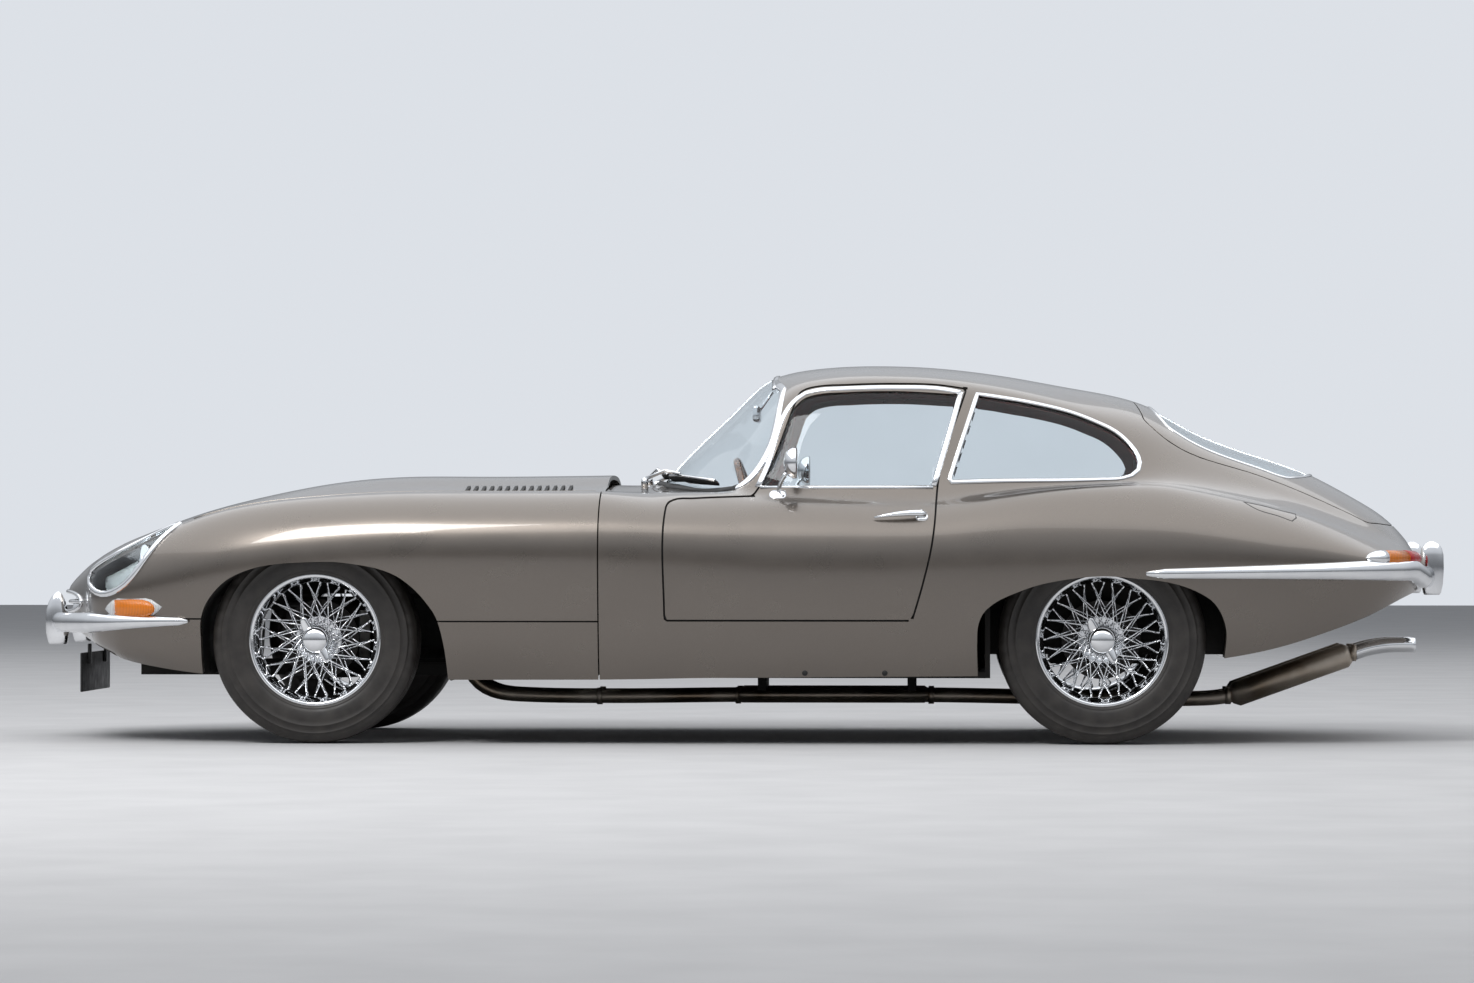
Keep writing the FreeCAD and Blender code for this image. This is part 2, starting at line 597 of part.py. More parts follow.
def round_point(radius, angle, across):
    """Return a point round the wheel's axle: angle in degrees, distance across from its middle."""
    turn = math.radians(angle)
    return Vector(radius * math.cos(turn), across, radius * math.sin(turn))


def hoop(outline, sides):
    """Turn a closed outline, given as width and radius, round the axle in flat steps."""
    rings = []
    for n in range(sides + 1):
        rings.append([round_point(radius, 360.0 * n / sides, across) for across, radius in outline])
    return facet_loft(rings, closed=True)


def turning(outline, sides):
    """Turn an open outline, given as width and radius, into a solid round the axle."""
    rings = []
    for across, radius in outline:
        rings.append([round_point(radius, -360.0 * n / sides, across) for n in range(sides)])
    return facet_loft(rings)


def tyre_shape():
    """Return a tyre about its own middle."""
    rim_width = size("rim_half_width")
    rim_radius = size("rim_radius")
    radius = size("tyre_radius")
    half = [
        (size("tread_half_width"), radius),
        (size("shoulder_half_width"), radius - size("shoulder_drop")),
        (size("tyre_half_width"), radius - size("sidewall_drop")),
        (rim_width, rim_radius),
    ]
    other = [(-across, height) for across, height in reversed(half)]
    return hoop(half + other, int(size("wheel_sides")))


# Spokes: hub place, rim place and how far round the hub end leans, in degrees
SPOKE_ROWS = (
    (34.0, -2.0, 62.0),
    (24.0, -12.0, -62.0),
    (-44.0, -22.0, 62.0),
    (-54.0, -32.0, -62.0),
)
SPOKES_IN_ROW = 9


def wheel_shape():
    """Return a wire wheel about its own middle, outer face towards +Y."""
    rim_width = size("rim_half_width")
    rim_radius = size("rim_radius")
    well = rim_radius - size("rim_depth")
    hub_radius = size("hub_radius")
    outer = size("hub_outer")
    inner = size("hub_inner")
    lip = 6.0
    rim = hoop([
        (-rim_width, rim_radius), (rim_width, rim_radius), (rim_width, rim_radius - lip),
        (0.5 * rim_width, well), (-0.5 * rim_width, well), (-rim_width, rim_radius - lip),
    ], int(size("wheel_sides")))
    hub = turning([
        (inner, hub_radius), (outer, hub_radius), (outer + 4, hub_radius - 6),
        (outer + 0.6 * size("spinner_length"), 0.6 * hub_radius),
        (outer + size("spinner_length"), 0.3 * hub_radius),
    ], 16)
    wires = []
    for hub_place, rim_place, lean in SPOKE_ROWS:
        for n in range(SPOKES_IN_ROW):
            angle = 360.0 * n / SPOKES_IN_ROW
            wires.append(rod(round_point(hub_radius - 5, angle + lean, hub_place),
                             round_point(well + 4, angle, rim_place), 0.58 * size("spoke_width"), 3))
    return rim.fuse([hub] + wires)


tyre = tyre_shape()
wheel = wheel_shape()
for end, axle in AXLES:
    for side, word in LEFT_RIGHT:
        hub = (axle, f"{side}*half_track", "hub_z")
        turn = Rotation() if side > 0 else HALF_TURN
        put(coded(f"tyre_{end}_{word}", tyre), hub, turn)
        put(coded(f"wire_wheel_{end}_{word}", wheel), hub, turn)

# Knuckles: upright, kingpin eyes and stub axle, all inboard of the wheel
for side, word in LEFT_RIGHT:
    inner = f"{side}*kingpin_y"
    upright = block(
        f"upright_{word}", ("front_axle_x - 0.5*knuckle_width", f"{side}*kingpin_y - 0.5*knuckle_depth",
                            "hub_z - knuckle_drop"),
        "knuckle_width", "knuckle_depth", "2*knuckle_drop")
    axle = bar(
        f"stub_axle_{word}", ("front_axle_x", inner, "hub_z"),
        ("front_axle_x", f"{side}*half_track + {side}*hub_inner - {side}*joint_play", "hub_z"),
        "stub_radius")
    arm = bar(
        f"steering_arm_{word}", ("front_axle_x", inner, "hub_z - 60"),
        ("front_axle_x + steering_arm_length", f"{side}*kingpin_y - {side}*20", "hub_z - 60"), "arm_radius")
    joined(f"knuckle_{word}", [upright, axle, arm])

# Front suspension: upper and lower arms from the frame to the kingpin eyes
arms = []
for side, word in LEFT_RIGHT:
    for level, sign in (("upper", 1), ("lower", -1)):
        tip = ("front_axle_x", f"{side}*kingpin_y", f"hub_z + {sign}*knuckle_drop + {sign}*16")
        eye = bar(f"{level}_eye_{word}",
                  ("front_axle_x", f"{side}*kingpin_y", f"hub_z + {sign}*knuckle_drop + {sign}*joint_play"),
                  ("front_axle_x", f"{side}*kingpin_y", f"hub_z + {sign}*knuckle_drop + {sign}*30"),
                  "2*arm_radius")
        for reach, place in (("arm_spread", "fore"), ("-1*arm_spread", "aft")):
            arms.append(bar(
                f"{level}_{place}_arm_{word}", tip,
                (f"front_axle_x + {reach}", f"{side}*frame_half_width + {side}*6.5",
                 f"hub_z + {sign}*knuckle_drop + {sign}*16"), "arm_radius"))
        arms.append(eye)
joined("front_suspension", arms)

# Front frame: two side tubes a side, cross members and the bonnet's pivot brackets
tubes = []
for side, word in LEFT_RIGHT:
    y = "frame_half_width - frame_tube" if side > 0 else "-1*frame_half_width"
    for level in ("frame_low_z", "frame_high_z"):
        tubes.append(block(f"frame_tube_{word}_{level}", ("bulkhead_x + panel", y, level),
                           "frame_front_x - bulkhead_x - panel", "frame_tube", "frame_tube"))
    tubes.append(block(f"frame_post_{word}", ("frame_front_x - frame_tube", y, "frame_low_z"),
                       "frame_tube", "frame_tube", "frame_high_z - frame_low_z"))
    tubes.append(block(f"frame_mid_post_{word}", ("front_axle_x - 0.5*frame_tube", y, "frame_low_z"),
                       "frame_tube", "frame_tube", "frame_high_z - frame_low_z"))
    tubes.append(block(f"pivot_arm_{word}",
                       ("frame_front_x", y, "pivot_z - 0.5*frame_tube"),
                       "pivot_x - frame_front_x + 0.5*frame_tube", "frame_tube", "frame_tube"))
for level in ("frame_low_z", "frame_high_z"):
    tubes.append(block(f"frame_cross_{level}",
                       ("frame_front_x - frame_tube", "-1*frame_half_width", level),
                       "frame_tube", "2*frame_half_width", "frame_tube"))
joined("front_frame", tubes)

block("engine", ("engine_front_x - engine_length", "-0.5*engine_width", "engine_z"),
      "engine_length", "engine_width", "engine_height")

# Floor with the tunnel and heel board, load floor with its side walls
floor = block("floor_plate", ("-1*floor_rear", "-1*floor_half_width", "floor_z"),
              "floor_rear + bulkhead_x", "2*floor_half_width", "floor_thickness")
tunnel_out = block("tunnel_outside", ("-1*floor_rear", "-1*tunnel_half_width", "floor_z"),
                   "floor_rear + bulkhead_x", "2*tunnel_half_width", "tunnel_height")
tunnel_in = block("tunnel_inside", ("-1*floor_rear - 10", "-1*tunnel_half_width + panel", "floor_z - 10"),
                  "floor_rear + bulkhead_x + 20", "2*tunnel_half_width - 2*panel",
                  "tunnel_height - panel + 10")
heel = block("heel_board", ("-1*floor_rear - panel", "-1*floor_half_width", "floor_z"),
             "panel", "2*floor_half_width", "load_floor_z - floor_z + panel")
load = block("load_plate", ("load_rear_x", "-1*load_half_width", "load_floor_z"),
             "-1*load_rear_x - floor_rear - panel", "2*load_half_width", "panel")
pieces = [floor, tunnel_out, heel, load]
solid_floor = joined("solid_floor", pieces)
floor_pan = doc.addObject("Part::Cut", "floor_pan")
floor_pan.Base = solid_floor
floor_pan.Tool = tunnel_in

# Cabin fittings
dash = block("dash_board", ("dash_x", "-1*dash_half_width", "dash_z"),
             "bulkhead_x - dash_x", "2*dash_half_width", "dash_height")
rake = math.radians(size("column_rake"))
to_boss = size("boss_depth") + size("joint_play")
to_end = (size("column_end_x") - size("wheel_x")) / math.sin(rake)
column = bar(
    "steering_column",
    (f"wheel_x + {to_boss * math.sin(rake):.4f}", "driver_y", f"wheel_z - {to_boss * math.cos(rake):.4f}"),
    ("column_end_x", "driver_y", f"wheel_z - {to_end * math.cos(rake):.4f}"), "column_radius")
joined("dashboard", [dash, column])

seat_parts = []
for side, word in LEFT_RIGHT:
    y = f"{side}*driver_y - 0.5*seat_width"
    cushion = block(f"cushion_{word}", ("seat_x", y, "floor_z + floor_thickness + joint_play"),
                    "seat_length", "seat_width", "seat_height")
    back = block(f"seat_back_{word}", ("seat_x", y, "floor_z + floor_thickness + 120"),
                 "seat_back_thickness", "seat_width", "seat_back_height",
                 Rotation(Vector(0, 1, 0), -16))
    seat_parts.append(joined(f"seat_{word}", [cushion, back]))
grouped("seats", seat_parts)

# Steering wheel: rim, boss and three spokes, drawn flat and then tilted
WHEEL_SIDES = 24
rings = []
for n in range(WHEEL_SIDES + 1):
    angle = 2 * math.pi * n / WHEEL_SIDES
    ring = []
    for m in range(6):
        turn = math.pi * m / 3
        reach = size("steering_wheel_radius") + size("steering_rim_radius") * math.cos(turn)
        ring.append(Vector(reach * math.cos(angle), reach * math.sin(angle),
                           size("steering_rim_radius") * math.sin(turn)))
    rings.append(ring)
steering = facet_loft(rings, closed=True)
boss_bottom = Vector(0, 0, -size("boss_depth"))
steering = steering.fuse(rod(boss_bottom, boss_bottom + Vector(0, 0, size("boss_height")),
                             size("column_radius") + 12, 16))
for turn in (90, 210, 330):
    spoke = Part.makeBox(size("steering_wheel_radius"), 24, 4, Vector(0, -12, -2))
    spoke.rotate(Vector(), Vector(0, 0, 1), turn)
    steering = steering.fuse(spoke)
wheel = coded("steering_wheel", steering)
wheel.Placement = Placement(
    Vector(size("wheel_x"), size("driver_y"), size("wheel_z")),
    Rotation(Vector(0, 1, 0), -size("column_rake")))

# Rear suspension: cage, half shafts, carriers, lower arms and spring units
cage = block("cage", ("rear_axle_x - cage_half_length", "-1*cage_half_width", "cage_z"),
             "2*cage_half_length", "2*cage_half_width", "cage_height")
rear_units = []
for side, word in LEFT_RIGHT:
    carrier_y = f"{side}*half_track + {side}*hub_inner - {side}*20.3"
    unit = block(f"carrier_{word}",
                 ("rear_axle_x - 45", f"{carrier_y} - 20", "hub_z - 80"), "90", "40", "150")
    shaft = bar(f"half_shaft_{word}", ("rear_axle_x", f"{side}*cage_half_width - {side}*5", "hub_z"),
                ("rear_axle_x", carrier_y, "hub_z"), "shaft_radius")
    unit = joined(f"rear_unit_{word}", [unit, shaft])
    for reach, spring in (("90", "64"), ("-90", "-64")):
        arm = bar(f"lower_arm_{word}_{reach}",
                  (f"rear_axle_x + {reach}", f"{side}*cage_half_width - {side}*5", "hub_z - 65"),
                  ("rear_axle_x", carrier_y, "hub_z - 65"), "arm_radius + 4")
        coil = bar(f"spring_{word}_{reach}",
                   (f"rear_axle_x + {spring}", f"{side}*400", "hub_z - 60"),
                   (f"rear_axle_x + {spring}", f"{side}*290", "load_floor_z - 22"), "30")
        mount = block(f"spring_mount_{word}_{reach}",
                      (f"rear_axle_x + {spring} - 34", f"{side}*255 - 55", "load_floor_z - 60"),
                      "68", "110", "59.7")
        unit = joined(f"rear_unit_{word}_{reach}", [unit, arm])
        unit = joined(f"rear_unit_sprung_{word}_{reach}", [unit, coil])
        unit = joined(f"rear_unit_whole_{word}_{reach}", [unit, mount])
    rear_units.append(unit)
joined("rear_suspension", [cage] + rear_units)


def tube(path, radius, sides=8):
    """Sweep a many-sided tube along straight runs with mitred corners."""
    rings = []
    for i, here in enumerate(path):
        into = (here - path[i - 1]).normalize() if i else (path[1] - here).normalize()
        out = (path[i + 1] - here).normalize() if i + 1 < len(path) else into
        normal = (into + out).normalize()
        across = Vector(0, 1, 0)
        up = into.cross(across)
        ring = []
        for n in range(sides):
            angle = 2 * math.pi * (n + 0.5) / sides
            spoke = across * (radius * math.cos(angle)) + up * (radius * math.sin(angle))
            ring.append(here + spoke - into * (spoke.dot(normal) / into.dot(normal)))
        rings.append(ring)
    return facet_loft(rings)


# Exhaust: twin pipes, silencers, rear resonators and tail pipes
pipe_z = size("pipe_z")
pipe_radius = size("pipe_radius")
exhaust_sides = []
for side in (1, -1):
    y = side * size("pipe_y")
    run = [(780, size("engine_z")), (780, pipe_z), (0, pipe_z), (-610, pipe_z), (-1560, pipe_z - 6),
           (-1945, pipe_z + 135), (-2050, pipe_z + 160), (-2150, pipe_z + 160)]
    pipe = tube([Vector(x, y, z) for x, z in run], pipe_radius)
    silencer = tube([Vector(0, y, pipe_z), Vector(-600, y, pipe_z)], size("silencer_radius"))
    resonator = tube([Vector(-1580, y, pipe_z + 1), Vector(-1930, y, pipe_z + 130)],
                     size("silencer_radius") - 6)
    exhaust_sides.append(pipe.fuse(silencer).fuse(resonator))
system = exhaust_sides[0].fuse(exhaust_sides[1])
for x in (-80, -560):
    width = size("pipe_y") + 40
    strap = Part.makeBox(30, 2 * width, size("floor_z") - pipe_z - size("joint_play"), Vector(x, -width, pipe_z))
    system = system.fuse(strap)
coded("exhaust", system)


def width_at(x, z):
    """Return the half width of the body at one place of its side."""
    rows = [row for row in SECTIONS if not BONNET_END_X - 3.0 < row[0] < BONNET_END_X]
    for ahead, behind in zip(rows, rows[1:]):
        if ahead[0] >= x >= behind[0]:
            break
    widths = []
    for row in (ahead, behind):
        points = half_section(row)
        width = points[0][0] if z < points[0][1] else 0.0
        for (y1, z1), (y2, z2) in zip(points, points[1:]):
            if z1 <= z <= z2:
                width = max(width, y1 + (y2 - y1) * (z - z1) / (z2 - z1))
        widths.append(width)
    share = (ahead[0] - x) / (ahead[0] - behind[0])
    return widths[0] + share * (widths[1] - widths[0])


def along_body(stations, z):
    """Return the body's side at one height as x, y points."""
    return [(x, width_at(x, z)) for x in stations]


def wrapped(side, path, z_low, z_high, thickness, sunk=8.0):
    """Wrap a strip of the given thickness along a path of x, y points, clear of the body."""
    ring = []
    for distance in (-sunk, thickness):
        edge = []
        for i, (x, y) in enumerate(path):
            before = path[max(i - 1, 0)]
            after = path[min(i + 1, len(path) - 1)]
            run = math.hypot(after[0] - before[0], after[1] - before[1])
            normal = ((after[1] - before[1]) / run, -(after[0] - before[0]) / run)
            if normal[1] < 0:
                normal = (-normal[0], -normal[1])
            edge.append(Vector(x + normal[0] * distance, side * (y + normal[1] * distance), z_low))
        ring.append(edge)
    corners = ring[0] + ring[1][::-1]
    solid = Part.Face(Part.makePolygon(corners + corners[:1])).extrude(Vector(0, 0, z_high - z_low))
    return solid.cut(outside)


def both_sides(make):
    """Return the left and the right piece as one shape."""
    return Part.makeCompound([make(1), make(-1)])


def overrider(side, x_from, x_to, y, z_low, z_high, width):
    """Return an upright overrider on one side, clear of the body."""
    corner = Vector(x_from, side * y - width / 2, z_low)
    return Part.makeBox(x_to - x_from, width, z_high - z_low, corner).cut(outside)


REAR_BUMPER_X = (-1270, -1445, -1640, -1800, -1900, -1960, -2010, -2060, -2090, -2120, -2142)
FRONT_BUMPER = (
    (1690, 728), (1800, 688), (1895, 648), (1960, 601), (2024, 530), (2075, 452), (2125, 362), (2163, 272),
    (2176, 195),
)
REAR_BAR_Z = (486.0, 548.0)
FRONT_BAR_Z = (348.0, 400.0)


def rear_bar(side):
    """Return one rear bumper: the strip along the side, its end round the corner, the overrider."""
    low, high = REAR_BAR_Z
    strip = wrapped(side, along_body(REAR_BUMPER_X, 0.5 * (low + high)), low, high, 34)
    corner = Vector(TAIL_X - 35, 300 if side > 0 else -425, low)
    end = Part.makeBox(46, 125, high - low, corner).cut(outside)
    post = overrider(side, TAIL_X - 79, TAIL_X + 13, 330, 460, 628, 46)
    return strip.fuse(end).fuse(post)


def front_bar(side):
    """Return one front bumper: the strip round the nose and the overrider."""
    strip = wrapped(side, FRONT_BUMPER, *FRONT_BAR_Z, 28)
    return strip.fuse(overrider(side, NOSE_X - 36, NOSE_X + 40, 235, 300, 468, 42))


coded("rear_bumpers", both_sides(rear_bar))
coded("front_bumpers", both_sides(front_bar))
coded("tail_lamps", both_sides(lambda side: wrapped(
    side, along_body((-1952, -2010, -2060, -2085, -2108), 577), 552, 602, 26)))
coded("side_lamps", both_sides(lambda side: wrapped(
    side, along_body((1772, 1840, 1895, 1965), 428), 404, 452, 22)))

LAMP_COVER = [
    (2050, 507), (2022, 478), (1984, 463), (1940, 470), (1905, 489), (1866, 529), (1834, 573), (1785, 636),
    (1727, 689), (1775, 672), (1820, 650), (1880, 622), (1952, 585), (2015, 552), (2045, 530),
]
openings = side_prism(LAMP_COVER)
bonnet = doc.getObject("bonnet")
bonnet.Shape = bonnet.Shape.cut(openings).removeSplitter()
coded("headlamp_covers", pane.common(openings))
LAMP_CENTRE = Vector(1806, 540, 540)
LAMP_RADIUS = 74.0
LAMP_DEPTH = 80.0


def headlamp(side):
    """Return one headlamp bowl on its mounting plate."""
    middle = Vector(LAMP_CENTRE.x, side * LAMP_CENTRE.y, LAMP_CENTRE.z)
    plate = Part.makeBox(6, 220, 220, middle - Vector(6, 110, 110))
    bowl = rod(middle, middle + Vector(LAMP_DEPTH, 0, 0), LAMP_RADIUS, 16)
    return inside.common(plate.fuse(bowl))


coded("headlamps", both_sides(headlamp))
bar_end = Vector(2160, 300, size("mouth_low_z") + 0.5 * size("mouth_height") - 3.0)
coded("grille_bar", rod(Vector(bar_end.x, -bar_end.y, bar_end.z), bar_end,
                        size("grille_bar_radius"), 8).common(inside))
plate_x = size("front_plate_x")
thick = size("plate_thickness")
carrier = Part.makeBox(thick, size("plate_length"), size("front_plate_height"),
                       Vector(plate_x, -size("plate_length") / 2, size("front_plate_z")))
strut_z = size("front_plate_z") + size("front_plate_height") - 37
for side in (1, -1):
    strut = Part.makeBox(12, 30, 110, Vector(plate_x - 12, side * 150 - 15, strut_z)).cut(outside)
    carrier = carrier.fuse(strut)
coded("front_plate", carrier)
coded("rear_plate", Part.makeBox(
    thick, size("plate_length"), size("plate_height"),
    Vector(TAIL_X - thick, -size("plate_length") / 2, size("rear_plate_z"))))

for side, word in LEFT_RIGHT:
    foot = Vector(-140, side * 670, 775)
    head = Vector(-160, side * 712, 870)
    stem = rod(foot, head, 6, 6)
    mirror = stem.fuse(rod(head - Vector(size("mirror_depth"), 0, 0), head, size("mirror_radius"), 16))
    coded("door_mirror_" + word, mirror.cut(doc.getObject("door_" + word).Shape))

doc.recompute()

NODES = [
    "floor_pan", "sills", "scuttle", "cabin_shell", "windscreen", "quarter_windows", "dashboard", "seats",
    "front_frame", "engine", "front_suspension", "rear_suspension", "exhaust", "rear_bumpers", "tail_lamps",
    "rear_plate", "bonnet", "front_valance", "headlamps", "headlamp_covers", "front_bumpers", "side_lamps",
    "grille_bar", "front_plate", "door_left", "door_right", "door_glass_left", "door_glass_right",
    "door_mirror_left", "door_mirror_right", "tailgate", "tailgate_glass", "knuckle_left", "knuckle_right",
    "steering_wheel",
]
for end, _ in AXLES:
    for _, word in LEFT_RIGHT:
        NODES.append(f"tyre_{end}_{word}")
        NODES.append(f"wire_wheel_{end}_{word}")

for item in doc.Objects:
    if "Invalid" in item.State or "Error" in item.State:
        raise RuntimeError(f"{item.Name} did not build: {item.State}")
os.makedirs("parts", exist_ok=True)
for name in NODES:
    item = doc.getObject(name)
    item.Label = name
    if item.Shape.isNull() or not item.Shape.isValid():
        raise RuntimeError(f"{name} has no valid shape")
for name in NODES:
    doc.getObject(name).Shape.exportStep(f"parts/{name}.step")
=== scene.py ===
import math

import bmesh
import bpy
import numpy as np
from mathutils import Matrix, Vector


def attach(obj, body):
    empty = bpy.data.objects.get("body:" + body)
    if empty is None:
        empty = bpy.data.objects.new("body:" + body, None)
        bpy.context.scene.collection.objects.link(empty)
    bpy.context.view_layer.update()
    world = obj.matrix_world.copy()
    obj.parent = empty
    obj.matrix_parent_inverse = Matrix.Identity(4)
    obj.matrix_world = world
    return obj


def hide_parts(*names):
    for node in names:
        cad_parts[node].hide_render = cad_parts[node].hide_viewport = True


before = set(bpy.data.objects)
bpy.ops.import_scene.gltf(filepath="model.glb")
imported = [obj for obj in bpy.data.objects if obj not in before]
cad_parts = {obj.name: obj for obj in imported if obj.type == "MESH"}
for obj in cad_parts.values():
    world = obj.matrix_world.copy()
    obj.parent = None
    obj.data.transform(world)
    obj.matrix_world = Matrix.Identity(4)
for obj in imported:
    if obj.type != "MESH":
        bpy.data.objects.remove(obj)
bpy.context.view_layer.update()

scene = bpy.context.scene
scene.view_settings.view_transform = "Standard"

MM = 0.001
CENTRE = Vector((0.0, 0.0, 0.0))
FORWARDS = Vector((1.0, 0.0, 0.0))
LEFTWARDS = Vector((0.0, 1.0, 0.0))
LEFT_RIGHT = ((1, "left"), (-1, "right"))
WELD_DISTANCE = 0.05 * MM
CREASE = math.radians(50)

# The body's sections in millimetres: x, then y and z of low edge, sill, widest line, shoulder,
# wing crown, waist, glass, rail, roof edge and roof crest, then z on the centreline
FRONT_SECTIONS = [
    (2186, 45, 395, 62, 405, 72, 428, 68, 445, 62, 452, 54, 457, 45, 460, 35, 463, 24, 465, 12, 466, 466),
    (2170, 90, 372, 112, 385, 125, 425, 120, 455, 110, 470, 96, 480, 80, 487, 62, 492, 42, 495, 20, 497, 498),
    (2120, 170, 335, 205, 355, 228, 425, 222, 470, 205, 500, 180, 518, 150, 529, 118, 535, 82, 539, 40, 541,
     541),
    (2085, 235, 318, 282, 345, 312, 428, 305, 482, 280, 518, 242, 540, 200, 553, 155, 560, 108, 564, 54, 566,
     566),
    (2055, 320, 308, 380, 338, 418, 432, 408, 490, 375, 528, 322, 552, 265, 566, 205, 575, 140, 580, 70, 583,
     584),
    (2024, 435, 301, 488, 330, 522, 435, 514, 495, 486, 532, 425, 558, 358, 575, 282, 587, 195, 596, 98, 601,
     602),
    (1960, 512, 275, 565, 314, 600, 437, 590, 512, 552, 564, 478, 590, 402, 606, 318, 618, 223, 627, 110, 632,
     632),
    (1895, 560, 252, 610, 300, 650, 440, 640, 530, 590, 598, 500, 618, 420, 632, 335, 644, 235, 653, 118, 657,
     658),
    (1727, 640, 224, 685, 300, 724, 455, 712, 590, 620, 680, 520, 686, 430, 696, 340, 706, 240, 715, 120, 721,
     723),
    (1520, 700, 206, 740, 300, 775, 480, 765, 630, 650, 735, 540, 738, 440, 748, 345, 760, 240, 769, 120, 775,
     777),
    (1297, 725, 200, 768, 305, 802, 500, 790, 660, 665, 762, 550, 762, 445, 772, 345, 790, 240, 808, 120, 817,
     819),
    (1060, 745, 200, 785, 310, 818, 515, 803, 680, 672, 776, 555, 776, 450, 784, 345, 803, 240, 826, 120, 836,
     838),
    (800, 755, 200, 795, 315, 826, 525, 808, 685, 676, 778, 558, 778, 450, 785, 345, 803, 240, 826, 120, 836,
     838),
    (411, 765, 201, 800, 318, 828, 530, 808, 688, 680, 778, 560, 780, 450, 788, 345, 806, 240, 830, 120, 840,
     842),
]
REAR_SECTIONS = [
    (407, 765, 201, 800, 318, 828, 530, 808, 688, 684, 776, 560, 782, 450, 787, 345, 795, 240, 803, 120, 809,
     811),
    (268, 768, 203, 802, 320, 828, 532, 806, 686, 690, 762, 575, 780, 450, 790, 345, 799, 240, 807, 120, 812,
     814),
    (215, 769, 204, 802, 320, 828, 533, 806, 684, 694, 760, 585, 781, 430, 791, 280, 801, 200, 830, 100, 852,
     860),
    (120, 770, 206, 803, 321, 828, 534, 806, 680, 705, 757, 600, 782, 450, 793, 350, 850, 240, 910, 120, 945,
     957),
    (20, 770, 207, 803, 322, 828, 535, 806, 675, 716, 752, 625, 785, 545, 800, 430, 905, 290, 985, 145, 1037,
     1052),
    (-65, 770, 208, 803, 322, 828, 535, 806, 672, 728, 748, 642, 790, 570, 885, 470, 990, 320, 1075, 160,
     1121, 1133),
    (-130, 770, 208, 803, 322, 828, 535, 806, 670, 732, 746, 655, 793, 592, 915, 505, 1045, 350, 1116, 178,
     1151, 1162),
    (-200, 770, 209, 803, 322, 828, 535, 806, 669, 736, 744, 664, 795, 604, 940, 522, 1085, 372, 1142, 190,
     1169, 1178),
    (-330, 770, 210, 803, 322, 828, 535, 806, 668, 738, 740, 671, 795, 612, 952, 528, 1108, 384, 1158, 198,
     1183, 1190),
    (-480, 770, 211, 803, 322, 828, 535, 806, 668, 738, 737, 673, 795, 614, 953, 530, 1112, 388, 1160, 202,
     1185, 1192),
    (-650, 769, 212, 802, 323, 828, 537, 806, 672, 736, 739, 668, 796, 606, 948, 522, 1104, 382, 1151, 198,
     1176, 1184),
    (-860, 765, 215, 800, 325, 826, 540, 803, 690, 725, 768, 650, 800, 584, 932, 500, 1074, 366, 1122, 190,
     1149, 1158),
    (-1060, 758, 225, 793, 335, 822, 545, 795, 700, 705, 790, 625, 806, 556, 905, 474, 1024, 348, 1078, 181,
     1110, 1122),
    (-1280, 745, 245, 780, 350, 808, 550, 780, 700, 680, 792, 605, 812, 530, 862, 450, 945, 335, 1018, 175,
     1060, 1074),
    (-1445, 728, 258, 762, 362, 790, 550, 762, 688, 660, 770, 585, 790, 512, 818, 440, 866, 338, 930, 178,
     973, 987),
    (-1640, 695, 290, 726, 385, 755, 548, 728, 660, 630, 730, 560, 748, 495, 768, 430, 798, 335, 850, 178,
     895, 912),
    (-1800, 648, 335, 680, 415, 706, 545, 682, 630, 595, 686, 530, 704, 470, 722, 408, 744, 318, 790, 168,
     835, 856),
    (-1960, 575, 392, 610, 450, 636, 540, 615, 592, 540, 628, 485, 644, 430, 660, 372, 680, 288, 718, 152,
     755, 772),
    (-2060, 500, 440, 535, 480, 558, 538, 540, 570, 480, 594, 430, 608, 380, 622, 325, 638, 250, 664, 132,
     695, 709),
    (-2120, 415, 466, 450, 495, 470, 532, 452, 556, 405, 572, 362, 582, 318, 592, 270, 603, 205, 620, 108,
     640, 650),
    (-2143, 355, 476, 388, 500, 405, 528, 390, 547, 350, 560, 312, 568, 274, 576, 232, 584, 176, 596, 92,
     610, 617),
]
GRID_STEP = 0.014


def weights(t):
    """Return the four weights of a uniform cubic spline at a share t of its span."""
    return np.stack([(1 - t) ** 3, 3 * t ** 3 - 6 * t ** 2 + 4,
                     -3 * t ** 3 + 3 * t ** 2 + 3 * t + 1, t ** 3]) / 6.0


def padded_ends(net):
    """Add one extended row and column at each end of a control net."""
    net = np.concatenate([2 * net[:1] - net[1:2], net, 2 * net[-1:] - net[-2:-1]])
    return np.concatenate([2 * net[:, :1] - net[:, 1:2], net, 2 * net[:, -1:] - net[:, -2:-1]], axis=1)


